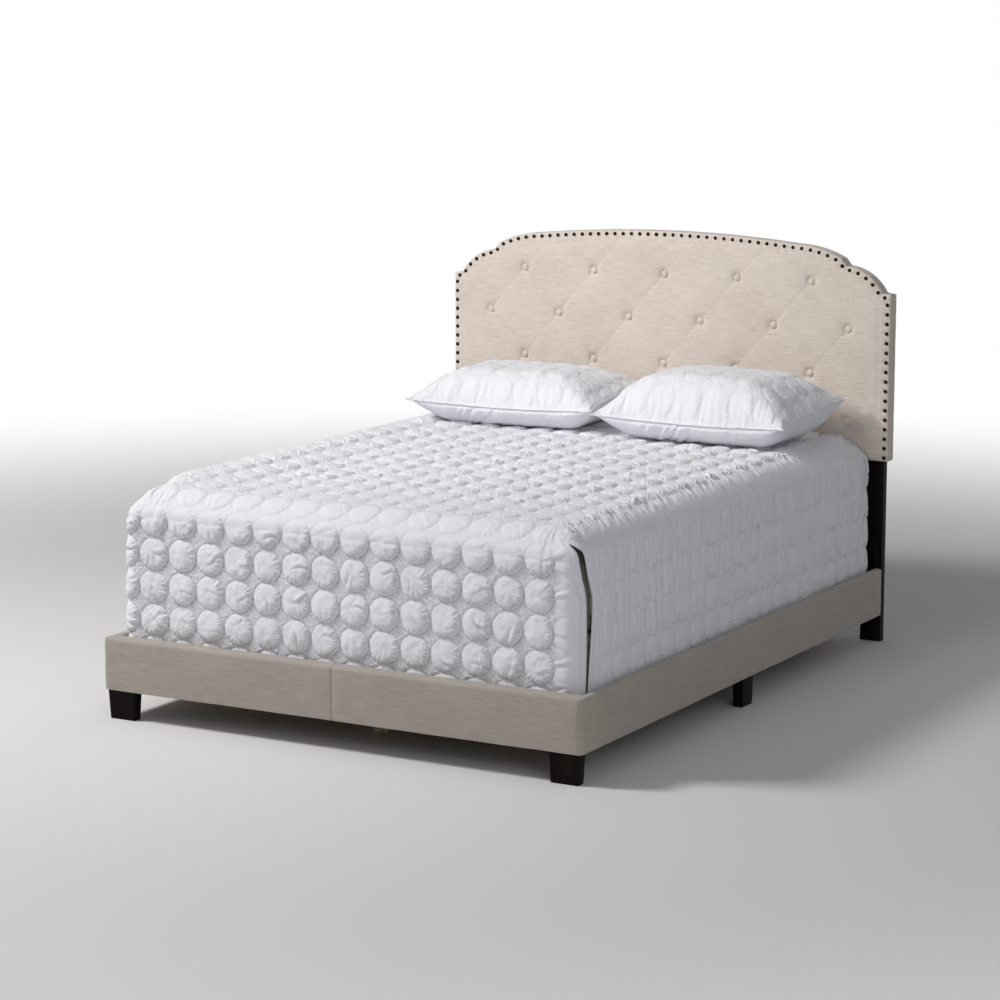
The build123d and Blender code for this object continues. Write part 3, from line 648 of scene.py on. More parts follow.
def tufting(points, edge_distance):
    """How far the cloth stands behind (positive) or before (negative) the headboard's face."""
    pad = smooth_step(*PAD_RUN, edge_distance)
    to_button = nearest(points, button_centres)
    dimple = 0.5 * np.exp(-(to_button / DIMPLE_SPREAD) ** 1.5) + 0.5 * np.exp(-(to_button / PIT_SPREAD) ** 3)
    depth = (FIELD_BULGE + BUTTON_SINK) * dimple - FIELD_BULGE * pad
    rng = np.random.default_rng(7)
    for ax, az, bx, bz, weight in pleat_lines():
        length = math.hypot(bx - ax, bz - az)
        ux, uz = (bx - ax) / length, (bz - az) / length
        run = (points[:, 0] - ax) * ux + (points[:, 2] - az) * uz
        off = (points[:, 0] - ax) * uz - (points[:, 2] - az) * ux
        off = off + PLEAT_WANDER * np.sin(run / length * math.pi) * rng.uniform(-1, 1)
        near = (np.abs(off) < PLEAT_REACH) & (run > -0.01) & (run < length + 0.01)
        # A pleat is deepest beside its buttons
        from_middle = np.abs(2 * np.clip(run[near] / length, 0, 1) - 1)
        strength = weight * rng.uniform(0.75, 1.15) * (0.45 + 0.55 * from_middle ** 1.5)
        fold = sum(size * hump(off[near] - aside, width)
                   for size, width, aside in (PLEAT_CREASE, PLEAT_LIP, PLEAT_HOLLOW))
        depth[near] += strength * fold * pad[near]
    to_nail = nearest(points, nail_centres)
    depth += NAIL_DIMPLE[0] * hump(to_nail, NAIL_DIMPLE[1])
    depth -= NAIL_BAND[0] * hump(edge_distance - BAND_FROM_EDGE, NAIL_BAND[1])
    between_nails = 1 - hump(to_nail, SCALLOP_GAP)
    depth -= SCALLOP[0] * hump(edge_distance - SCALLOP_FROM_EDGE, SCALLOP[1]) * between_nails
    return depth + rumple(HEAD_SLACK[0], points[:, 0], points[:, 2], HEAD_SLACK[1], 3)


def headboard_cover():
    """Front field as a grid under the outline, then rounded over the edge, along the side and behind."""
    # The columns stand closer together at the outline's step and ledge
    half_columns = np.unique(np.concatenate([
        np.linspace(0, HEAD_HALF - HEAD_ROUND, round((HEAD_HALF - HEAD_ROUND) / HEAD_STEP)),
        np.linspace(crest(STEP_HEAD_SHARE)[0] - 0.012, crest(STEP_FOOT_SHARE)[0] + 0.006, 14),
        np.linspace(crest(LEDGE_SHARE)[0] - 0.03, crest(LEDGE_SHARE)[0] + 0.004, 16)]).round(4))
    columns = np.concatenate([-half_columns[:0:-1], half_columns])
    spread = np.linspace(-HEAD_ROUND, HEAD_ROUND, 21)
    drop = np.sqrt(HEAD_ROUND ** 2 - spread ** 2)
    reach = np.clip(columns[:, None] + spread[None, :], -HEAD_HALF, HEAD_HALF)
    top = (head_outline(reach) - drop[None, :]).min(1)
    bottom = HEAD_BOTTOM + HEAD_ROUND
    rows = np.linspace(0, 1, round((HEAD_SHOULDER - HEAD_BOTTOM + 0.1) / HEAD_STEP))
    grid_x = np.repeat(columns[:, None], len(rows), 1)
    grid_z = bottom + (top[:, None] - bottom) * rows[None, :]
    count_x, count_z = grid_x.shape
    field = np.stack([grid_x.ravel(), np.full(grid_x.size, HEAD_FACE), grid_z.ravel()], 1)
    index = np.arange(grid_x.size).reshape(count_x, count_z)
    faces = [grid_faces(index)]
    rim = np.concatenate([index[:, 0], index[-1, 1:], index[-2::-1, -1], index[0, -2:0:-1]])
    rim_points = field[rim][:, (0, 2)]
    ahead, behind = np.roll(rim_points, -1, 0), np.roll(rim_points, 1, 0)
    step = ahead - behind
    outward = np.stack([step[:, 1], -step[:, 0]], 1) / np.maximum(np.hypot(*step.T), 1e-9)[:, None]
    corners = [0, count_x - 1, count_x + count_z - 2, 2 * count_x + count_z - 3]
    for corner, turn in zip(corners, ((-1, -1), (1, -1), (1, 1), (-1, 1))):
        outward[corner] = np.array(turn) / math.sqrt(2) * CORNER_SPREAD
    bends = np.linspace(0.2, math.pi / 2, 7)
    rings = [(math.sin(bend) * HEAD_ROUND, (1 - math.cos(bend)) * HEAD_ROUND) for bend in bends]
    rings += [(HEAD_ROUND, back) for back in np.linspace(HEAD_ROUND, HEAD_DEPTH - 0.002, 9)[1:]]
    rings += [(HEAD_ROUND - inward, HEAD_DEPTH - short) for inward, short in BACK_TURN]
    points = [field]
    previous = rim
    for out, back in rings:
        current = previous.max() + 1 + np.arange(len(rim))
        points.append(np.stack([rim_points[:, 0] + outward[:, 0] * out, np.full(len(rim), HEAD_FACE + back),
                                rim_points[:, 1] + outward[:, 1] * out], 1))
        faces.append(np.stack([previous, current, np.roll(current, -1), np.roll(previous, -1)], 1))
        previous = current
    points = np.concatenate(points)
    # Distance from the outer edge, for the padding and the nail line, taken to the sampled outline
    outline_x = np.linspace(-HEAD_HALF, HEAD_HALF, 420)
    outline = np.stack([outline_x, head_outline(outline_x)], 1)
    edge = np.minimum(HEAD_HALF - np.abs(points[:, 0]), points[:, 2] - HEAD_BOTTOM)
    for x, z in outline:
        edge = np.minimum(edge, np.hypot(points[:, 0] - x, points[:, 2] - z))
    on_front = np.arange(len(points)) < len(field)
    depth = points[:, 1] - HEAD_FACE
    points[:, 1] += tufting(points, edge) * np.where(on_front, smooth_step(0.004, 0.011, edge), 0)
    piece = new_piece("headboard_linen", points, np.concatenate(faces))
    normals = normals_of(piece.data)
    wave = rumple(SIDE_SLACK[0], points[:, 0] + depth, points[:, 2], SIDE_SLACK[1], 5)
    points += normals * (wave * (depth > HEAD_ROUND / 2))[:, None]
    set_points(piece.data, points)
    lay_cloth(piece.data, points[:, 0] + depth * np.sign(points[:, 0]) * np.abs(normals[:, 0]),
              points[:, 2] + depth * np.abs(normals[:, 2]))
    piece.data.materials.append(linen)
    return piece


cover = headboard_cover()
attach(cover, "bed_frame")
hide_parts("headboard_cover")


# Buttons.
# Domed metal buttons covered with the same linen, drawn into the tufts by a cord through the panel.
BUTTON_RADIUS = 0.0125
BUTTON_RISE = 0.0080
BUTTON_UNDER = 0.0025
BUTTON_RINGS = 9
BUTTON_SPOKES = 32
# The dome's cloth curls under its rim by this angle, in small pleats, and is stretched over the top
BUTTON_CURL = 1.9
BUTTON_PLEATS = 9
BUTTON_PLEAT_DEPTH = 0.012
BUTTON_STRETCH = 1.2


def covered_buttons():
    points, faces, cloth = [], [], []
    rng = np.random.default_rng(17)
    for cx, _, cz in button_centres:
        turn = rng.uniform(0, math.tau)
        start = len(points)
        points.append((cx, HEAD_FACE + BUTTON_SINK - BUTTON_RISE, cz))
        cloth.append((cx, cz))
        for ring in range(1, BUTTON_RINGS + 1):
            share = ring / BUTTON_RINGS
            angle = share * BUTTON_CURL
            on_dome = angle < math.pi / 2
            radius = BUTTON_RADIUS * (math.sin(angle) if on_dome else 0.97)
            back = BUTTON_SINK - BUTTON_RISE * math.cos(angle) if on_dome else BUTTON_SINK + BUTTON_UNDER
            for spoke in range(BUTTON_SPOKES):
                a = math.tau * spoke / BUTTON_SPOKES + turn
                pleat = 1 + BUTTON_PLEAT_DEPTH * share ** 3 * math.sin(BUTTON_PLEATS * a)
                x, z = math.cos(a) * radius * pleat, math.sin(a) * radius * pleat
                points.append((cx + x, HEAD_FACE + back, cz + z))
                cloth.append((cx + x * BUTTON_STRETCH, cz + z * BUTTON_STRETCH))
        for spoke in range(BUTTON_SPOKES):
            after = (spoke + 1) % BUTTON_SPOKES
            faces.append((start, start + 1 + after, start + 1 + spoke))
            for ring in range(BUTTON_RINGS - 1):
                a = start + 1 + ring * BUTTON_SPOKES
                b = a + BUTTON_SPOKES
                faces.append((a + spoke, a + after, b + after, b + spoke))
    piece = new_piece("linen_buttons", points, faces)
    lay_cloth(piece.data, *np.array(cloth).T)
    piece.data.materials.append(linen)
    return piece


buttons = covered_buttons()
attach(buttons, "bed_frame")
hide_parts("headboard_buttons")


# Nails.
# Domed upholstery nails in dark antique bronze, driven in a single row just inside the edge.
BRONZE_DARK = (0.006, 0.0045, 0.0038)
BRONZE_LIGHT = (0.028, 0.018, 0.013)


def antique_bronze():
    material, shader = new_finish("antique_bronze", 0.34, metallic=0.85)
    patina = noise(material, solid_place(material, (420.0,) * 3), 3.0, 0.6)
    colour = tones(material, patina, (0.38, BRONZE_DARK), (0.66, BRONZE_LIGHT))
    return finish_with(material, shader, colour, ((patina, 0.12, 0.0003),))


dress(antique_bronze(), "headboard_nails")


# Back cloth.
# Thin black non-woven cloth, stapled over the back of the headboard and cut out round the posts.
BACKING_DARK = (0.014, 0.014, 0.015)
BACKING_LIGHT = (0.040, 0.040, 0.042)


def spun_cloth(name, dark, light):
    material, shader = new_finish(name, 0.9, sheen=0.05)
    fibres = noise(material, solid_place(material, (260.0, 260.0, 60.0)), 4.0, 0.7, 1.5)
    dots = cells(material, solid_place(material, (480.0,) * 3))
    slack = noise(material, solid_place(material, (6.0,) * 3), 2.0)
    colour = tones(material, fibres, (0.35, dark), (0.65, light))
    return finish_with(material, shader, colour,
                       ((slack, 0.4, 0.01), (dots, 0.3, 0.0005), (fibres, 0.2, 0.0004)))


dress(spun_cloth("black_back_cloth", BACKING_DARK, BACKING_LIGHT), "headboard_back_cloth")


# Box spring.
# A pine frame with cross boards, covered in knitted ticking with a corded edge round its top and
# bottom, and closed below by a grey dust cloth. The ticking is coloured a dark taupe as painted shade,
# so that it reads as the shadow seen through the coverlet's slits.
DUST_DARK = (0.10, 0.10, 0.11)
DUST_LIGHT = (0.18, 0.18, 0.19)
# The ticking's tones are darkened as painted shade for the shadow in the coverlet's slits
TICKING_PAINTED_SHADE_LIGHT = (0.24, 0.205, 0.17)
TICKING_PAINTED_SHADE_DARK = (0.17, 0.145, 0.12)
SPRING_CORNER = 0.045
SPRING_TOP_ROUND = 0.010
SPRING_BOTTOM_ROUND = 0.006
SPRING_STEP = 0.012
CORD_INSET = 0.012
CORD_WIDTH = 0.0035
CORD_RISE = 0.003
SPRING_SLACK = (0.0016, 0.06)
# A flat panel's rings close in on a ridge this long, as a share of its length
RIDGE_SHARE = 0.26
dress(sawn_wood("box_spring_pine", 1, PINE_LIGHT, PINE_DARK), "box_spring_frame")
dress(sawn_wood("box_spring_pine_boards", 0, PINE_LIGHT, PINE_DARK), "box_spring_boards")
dress(spun_cloth("grey_dust_cloth", DUST_DARK, DUST_LIGHT), "box_spring_dust_cloth")


def knitted_ticking(name, light, dark):
    material, shader = new_finish(name, 0.8, sheen=0.1)
    ribs = bands(material, "DIAGONAL", 110.0)
    knit = cells(material, cloth_place(material, 620.0, 480.0))
    tone = noise(material, cloth_place(material, 30.0, 30.0), 3.0)
    mixed = combine(material, "ADD", combine(material, "MULTIPLY", ribs, 0.35), tone)
    colour = tones(material, mixed, (0.35, dark), (0.85, light))
    return finish_with(material, shader, colour, ((ribs, 0.15, 0.0004), (knit, 0.3, 0.0004)))


def padded_block(name, low, high, radius, top_round, bottom_round, step, relief):
    """Closed upholstered block: border rings, rounded over into the top and bottom panels."""
    plan, _, run = rounded_loop(low[:2], high[:2], (radius,) * 4, step)
    count = len(plan)
    centre = np.array((0, (low[1] + high[1]) / 2))
    half = np.array((high[0], (high[1] - low[1]) / 2))
    # The border's profile from the bottom up: how far it lies in, and how high
    bottom_turns, top_turns = np.linspace(0, math.pi / 2, 9), np.linspace(0, math.pi / 2, 13)
    rise = high[2] - top_round - low[2] - bottom_round
    levels = max(round(rise / step), 2)
    profile = [(bottom_round * (1 - math.sin(a)), low[2] + bottom_round * (1 - math.cos(a)))
               for a in bottom_turns]
    profile += [(0, low[2] + bottom_round + rise * k / levels) for k in range(1, levels)]
    profile += [(top_round * (1 - math.cos(a)), high[2] - top_round + top_round * math.sin(a))
                for a in top_turns]
    points, cloth = [], []
    for inset, z in profile:
        ring = centre + (plan - centre) * ((half - inset) / half)
        points.append(np.column_stack([ring, np.full(count, z)]))
        cloth.append(np.column_stack([run, np.full(count, z + inset)]))
    # Top and bottom panels close in rings towards the middle, each ring a smaller copy of the outline
    for z, inset, on_top in ((high[2], top_round, True), (low[2], bottom_round, False)):
        panel = []
        rings = round((half[0] - inset) / step)
        for k in range(1, rings + 1):
            share = 1 - k / rings
            closing = (share, share + (1 - share) * RIDGE_SHARE)
            ring = centre + (plan - centre) * ((half - inset) / half) * closing
            panel.append(np.column_stack([ring, np.full(count, z)]))
        flat = [ring[:, :2] for ring in panel]
        points = points + panel if on_top else panel[::-1] + points
        cloth = cloth + flat if on_top else flat[::-1] + cloth
    index = np.arange(len(points) * count).reshape(len(points), count)
    points, cloth = np.concatenate(points), np.concatenate(cloth)
    piece = new_piece(name, points, grid_faces(np.pad(index, ((0, 0), (0, 1)), "wrap"), back=True))
    normals = normals_of(piece.data)
    points += normals * relief(points, normals, cloth)[:, None]
    set_points(piece.data, points)
    lay_cloth(piece.data, *cloth.T)
    return piece


spring_low, spring_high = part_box("box_spring_cover")


def spring_relief(points, normals, cloth):
    """Corded seams along the border's top and bottom, and a little slack between them."""
    upright = 1 - np.abs(normals[:, 2])
    cords = sum(hump(points[:, 2] - level, CORD_WIDTH)
                for level in (spring_low[2] + CORD_INSET, spring_high[2] - CORD_INSET))
    slack = rumple(SPRING_SLACK[0], *cloth.T, SPRING_SLACK[1], 31)
    return CORD_RISE * cords * smooth_step(0.2, 0.7, upright) + slack * upright


box_spring = padded_block("box_spring_ticking", spring_low, spring_high, SPRING_CORNER, SPRING_TOP_ROUND,
                          SPRING_BOTTOM_ROUND, SPRING_STEP, spring_relief)
box_spring.data.materials.append(knitted_ticking("box_spring_knit_painted_shade", TICKING_PAINTED_SHADE_LIGHT, TICKING_PAINTED_SHADE_DARK))
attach(box_spring, "box_spring")
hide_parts("box_spring_cover")


# Mattress.
# A foam core in a quilted knit, with a woven tape sewn along the top and bottom of its border.
# The knit is coloured a dark taupe as painted shade, so that it reads as the shadow seen through the
# coverlet's slits.
# The knit's tones are darkened as painted shade for the shadow in the coverlet's slits
MATTRESS_PAINTED_SHADE_LIGHT = (0.22, 0.185, 0.15)
MATTRESS_PAINTED_SHADE_DARK = (0.155, 0.13, 0.105)
MATTRESS_ROUND = 0.105
MATTRESS_CORNER = 0.10
MATTRESS_BOTTOM_ROUND = 0.02
MATTRESS_STEP = 0.011
KNIT_EASE = 0.002
TUFT_PITCH = 0.17
TUFT_DEPTH = 0.004
TUFT_WIDTH = 0.012
BORDER_SLACK = (0.003, 0.08)
# How far the head's corners are pressed down, coming on between these places aside, back and up
HEAD_PRESSED = 0.016
PRESSED_ASIDE = (0.48, 0.70)
PRESSED_BACK = (0.70, 0.92)
PRESSED_UP = (0.50, 0.62)


def mattress_relief(points, normals, cloth):
    """Soft diamonds quilted into the panels, slack in the border, and the head's corners pressed down."""
    flat = np.abs(normals[:, 2])
    a = (cloth[:, 0] + cloth[:, 1]) / TUFT_PITCH
    b = (cloth[:, 0] - cloth[:, 1]) / TUFT_PITCH
    groove = np.minimum(np.abs(a - np.round(a)), np.abs(b - np.round(b))) * TUFT_PITCH / math.sqrt(2)
    quilting = TUFT_DEPTH * hump(groove, TUFT_WIDTH) * smooth_step(0.3, 0.9, flat)
    slack = rumple(BORDER_SLACK[0], *cloth.T, BORDER_SLACK[1], 41)
    pressed = smooth_step(*PRESSED_ASIDE, np.abs(points[:, 0])) * smooth_step(*PRESSED_BACK, points[:, 1])
    pressed = HEAD_PRESSED * pressed * smooth_step(*PRESSED_UP, points[:, 2])
    return slack * (1 - flat) - KNIT_EASE - quilting - pressed


mattress_low, mattress_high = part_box("mattress_cover")
mattress = padded_block("mattress_knit", mattress_low, mattress_high, MATTRESS_CORNER, MATTRESS_ROUND,
                        MATTRESS_BOTTOM_ROUND, MATTRESS_STEP, mattress_relief)
mattress.data.materials.append(knitted_ticking("mattress_quilted_knit_painted_shade", MATTRESS_PAINTED_SHADE_LIGHT, MATTRESS_PAINTED_SHADE_DARK))
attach(mattress, "mattress")
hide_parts("mattress_cover", "mattress_core")


# Mattress tapes.
# Narrow woven tapes sewn round the mattress where its border meets the top and bottom panels.
TAPE_LIGHT = (0.20, 0.17, 0.14)
TAPE_DARK = (0.13, 0.11, 0.09)
TAPE_WIDTH = 0.018
TAPE_STAND = 0.0018
TAPE_SET_IN = 0.0004
TAPE_STEP = 0.012
TAPE_SIDES = 12
tape_low, tape_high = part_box("mattress_edge_tapes")


def edge_tapes():
    """Both tapes, each a rounded band standing just proud of the knit."""
    plan, outward, run = rounded_loop(mattress_low[:2], mattress_high[:2], (MATTRESS_CORNER,) * 4, TAPE_STEP)
    levels = (tape_low[2] + TAPE_WIDTH / 2, tape_high[2] - TAPE_WIDTH / 2)
    above = max(levels[1] - mattress_high[2] + MATTRESS_ROUND, 0)
    insets = (0, MATTRESS_ROUND - math.sqrt(MATTRESS_ROUND ** 2 - above ** 2))
    section = [(math.cos(a), math.sin(a)) for a in np.linspace(0, math.tau, TAPE_SIDES, endpoint=False)]
    points, faces, cloth = [], [], []
    for level, inset in zip(levels, insets):
        index = len(points) * len(plan) + np.arange(TAPE_SIDES * len(plan)).reshape(TAPE_SIDES, len(plan))
        faces.append(grid_faces(np.pad(index, ((0, 1), (0, 1)), "wrap"), back=True))
        for out, rise in section:
            height = np.full(len(plan), level + rise * TAPE_WIDTH / 2)
            shift = outward * (out * TAPE_STAND - TAPE_SET_IN - inset)
            points.append(np.column_stack([plan + shift, height]))
            cloth.append(np.column_stack([run, height]))
    piece = new_piece("mattress_tapes_woven", np.concatenate(points), np.concatenate(faces))
    lay_cloth(piece.data, *np.concatenate(cloth).T)
    return piece


def woven_tape():
    material, shader = new_finish("woven_edge_tape", 0.75, sheen=0.1)
    ribs = combine(material, "MULTIPLY", bands(material, "Y", 90.0), 0.5)
    mixed = combine(material, "ADD", bands(material, "X", 210.0), ribs)
    colour = tones(material, mixed, (0.2, TAPE_DARK), (1.1, TAPE_LIGHT))
    return finish_with(material, shader, colour, ((mixed, 0.4, 0.0005),))


tapes = edge_tapes()
tapes.data.materials.append(woven_tape())
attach(tapes, "mattress")
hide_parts("mattress_edge_tapes")


# Coverlet.
# White brushed cotton in two layers over thin wadding, quilted in rows of stitched circles. It lies over the
# mattress and hangs inside the rails, slit beside each foot corner, with its hem turned under and stitched.
quilt_low, quilt_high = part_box("coverlet")
QUILT_STEP = 0.0042
QUILT_SINK = 0.0045
BEND_RUN = 0.146
BEND_SOFT = math.radians(60)
BEND_CREASE = 0.026
CORNER_RADIUS = 0.048
CIRCLE_PITCH = 0.099
CIRCLE_RADIUS = 0.0478
CIRCLE_COLUMN = 0.635
CIRCLE_ROW_LEVEL = 0.601
SQUARISH = 2.2
# How the filling lies in a circle, as shares of the puffing: its height, what chance and the slope add
PUFF = 0.0078
DOME_HEIGHT = 0.74
DOME_CHANCE = 0.36
DOME_LEAN = 0.34
DOME_TILT = 0.5
PUCKER_SHARE = 0.38
PUCKER_RING = (0.45, 0.84, 0.94, 1.0)
RUMPLE_SHARE = 0.44
CRINKLE = (0.26, 0.0088)
# Shares of the puffing over the middle of the top and lost towards the foot; what is added low on the foot
# and taken off over its bend; and the puffing of the sides
TOP_LOFT = 1.16
FOOT_PRESSED = 0.46
LOW_FOOT_PUFF = 0.0012
BEND_PRESSED = 0.0042
SIDE_PUFF = 0.0052
HEM_TURN = 0.024
HEM_DEPTH = 0.0036
HEM_STITCH = (0.0011, 0.0022)
COVERLET_MELT_REACH = 0.0005
# The turned hem's section: how far each point lies beyond the edge, and how far under the cloth
HEM_SECTION = ((0.0011, 0.0010), (0.0011, 0.0026), (-0.0010, HEM_DEPTH), (-HEM_TURN / 2, HEM_DEPTH + 0.0004),
               (-HEM_TURN, HEM_DEPTH))
# The slit: where its line runs beside the corner's middle, and by height how it leans and how wide it is open
SLIT_PLACE = -0.045
SLIT_LEVELS = (0.200, 0.250, 0.420, 0.500, 0.560, 0.632, 0.645, 0.653, 0.6875)
SLIT_LEAN = (0.004, 0.005, -0.006, -0.007, 0.014, 0.031, 0.050, 0.062, 0.0)
SLIT_OPEN = (0.012, 0.016, 0.031, 0.034, 0.028, 0.024, 0.013, 0.0, 0.0)
SLIT_REACH = 0.06
SLIT_SPREAD = 0.05
LEFT_SLIT_SHARE = 0.4
# The tuck over each slit: how far down its point and its lower end lie, and half its width there
TUCK_APEX = 0.042
TUCK_BASE = 0.080
TUCK_HALF = 0.044
# The left side's roll and bulge, and the lift of its foot corner, coming on between these places
LEFT_FULL = 0.020
LEFT_BULGE = 0.011
LEFT_LIFT = 0.013
LIFT_ASIDE = (0.46, 0.66)
LIFT_BACK = (-1.0, -0.82)
LIFT_UP = (0.50, 0.64)
# The drop of the shoulder at the head end, coming on between these places
SHOULDER_DROP = 0.012
SHOULDER_ASIDE = (0.50, 0.72)
SHOULDER_BACK = (0.72, 0.97)
SHOULDER_UP = (0.52, 0.66)
# How the rows of circles drift and waver: full height and size of the waves
ROW_DRIFT = (0.0035, 0.11)
ROW_WAVER = (0.0044, 0.034)
# Bands down the hanging cloth from the flat top: where a form starts, is full, fades and ends
BEND_BAND = (0.02, 0.06, 0.146, 0.160)
GATHER_BAND = (0.0, 0.018, 0.045, 0.095)
WRINKLE_BAND = (0.09, 0.16, 0.24, 0.58)
TUCK_BAND = (0.012, 0.05, 0.09, 0.13)
DRAWN_BAND = (0.035, 0.07, 0.13, 0.165)
ROLL_BAND = (0.0, 0.07, 0.10, 0.19)
# The same across it: from the corner's middle, and from the middle of the last circle
DRAWN_ACROSS = (0.055, 0.075, 0.115, 0.150)
FAN_RING = (0.045, 0.053, 0.070, 0.130)
# The foot's crease along the end of the bend: its place down the cloth, then its lip and groove, each by
# size, half width and how far it lies above the crease
FOOT_CREASE = 0.153
CREASE_LIP = (0.0014, 0.0045, 0.006)
CREASE_GROOVE = (0.0019, 0.0034, 0)
# Full heights of the fanned folds, gathers and wrinkles, and how far these two may go inward; then of the
# pulls at the tuck, the drawn cloth beside it, the tuck itself, the plain ground, the sag and the sway
FAN_RISE = 0.0082
GATHER_RISE = 0.0074
WRINKLE_RISE = 0.0080
SIDE_INWARD = 0.0034
PULL_RISE = 0.0036
DRAWN_RISE = 0.0058
TUCK_RISE = 0.0055
GROUND_RISE = 0.0016
SAG_RISE = 0.0036
SWAY = 0.0055

bend_runs = np.linspace(0, BEND_RUN, 74)
bend_angles = BEND_SOFT * np.minimum(bend_runs / (BEND_RUN - BEND_CREASE / 2), 1)
bend_angles += (math.pi / 2 - BEND_SOFT) * smooth_step(BEND_RUN - BEND_CREASE, BEND_RUN, bend_runs)
middle_angles = (bend_angles[1:] + bend_angles[:-1]) / 2
bend_outs = np.concatenate([[0], np.cumsum(np.cos(middle_angles) * np.diff(bend_runs))])
bend_drops = np.concatenate([[0], np.cumsum(np.sin(middle_angles) * np.diff(bend_runs))])
bend_out, bend_drop = bend_outs[-1], bend_drops[-1]

top_level = quilt_high[2] - QUILT_SINK
side_face = quilt_high[0] - 0.003
foot_face = quilt_low[1] + 0.004
head_end = quilt_high[1]
side_inner = side_face - bend_out
foot_inner = foot_face + bend_out
hang = BEND_RUN + top_level - bend_drop - quilt_low[2]
first_row = foot_inner - (BEND_RUN + top_level - bend_drop - CIRCLE_ROW_LEVEL)
corner_half = bend_out - CORNER_RADIUS + CORNER_RADIUS * math.pi / 4

# Outline of the hanging cloth from the head end of the right side, round the corner, to the middle of the
# foot, by the distance from the corner's middle
arc_turns = np.linspace(0, math.pi / 2, 25)
outline_run = np.concatenate([[-corner_half - (head_end - foot_inner), -corner_half],
                              CORNER_RADIUS * (arc_turns - math.pi / 4),
                              [corner_half, corner_half + side_inner]])
outline_x = np.concatenate([[side_face] * 2, side_face - CORNER_RADIUS * (1 - np.cos(arc_turns)),
                            [side_inner, 0]])
outline_y = np.concatenate([[head_end, foot_inner], foot_face + CORNER_RADIUS * (1 - np.sin(arc_turns)),
                            [foot_face] * 2])
facing_x = np.concatenate([[1, 1], np.cos(arc_turns), [0, 0]])
facing_y = np.concatenate([[0, 0], -np.sin(arc_turns), [-1, -1]])
inner_run = (outline_run[0], -corner_half, corner_half, outline_run[-1])
inner_x = (side_inner, side_inner, side_inner, 0)
inner_y = (head_end, foot_inner, foot_inner, foot_inner)


def hanging(run, downs, sign, open_way):
    """Points and directions of the cloth by distance from the corner's middle and down from the flat top.

    The slit's edges stand apart by open_way: 1 for the foot's edge, -1 for the side's.
    """
    out = np.interp(downs, bend_runs, bend_outs)
    drop = np.interp(downs, bend_runs, bend_drops) + np.maximum(downs - BEND_RUN, 0)
    angle = np.interp(downs, bend_runs, bend_angles)
    height = top_level - drop
    off = run[:, None] - SLIT_PLACE
    moved = run[:, None] + np.interp(height, SLIT_LEVELS, SLIT_LEAN)[None, :] * hump(off, SLIT_REACH)
    gap = np.interp(height, SLIT_LEVELS, SLIT_OPEN)[None, :]
    gap = gap * np.where(np.asarray(sign) > 0, 1, LEFT_SLIT_SHARE)
    moved += open_way * gap / 2 * np.exp(-np.abs(off) / SLIT_SPREAD)
    share = (out / bend_out)[None, :]
    x = np.interp(moved, inner_run, inner_x) * (1 - share) + np.interp(moved, outline_run, outline_x) * share
    y = np.interp(moved, inner_run, inner_y) * (1 - share) + np.interp(moved, outline_run, outline_y) * share
    flat_x, flat_y = np.interp(moved, outline_run, facing_x), np.interp(moved, outline_run, facing_y)
    size = np.maximum(np.hypot(flat_x, flat_y), 1e-9)
    points = np.stack([x * sign, y, np.broadcast_to(height, x.shape)], -1)
    normals = np.stack([flat_x / size * sign * np.sin(angle), flat_y / size * np.sin(angle),
                        np.broadcast_to(np.cos(angle), x.shape)], -1)
    return points, normals, moved


def window(value, start, full, fading, end):
    """Share that rises from start to full and falls again from fading to end."""
    return smooth_step(start, full, value) * smooth_step(end, fading, value)


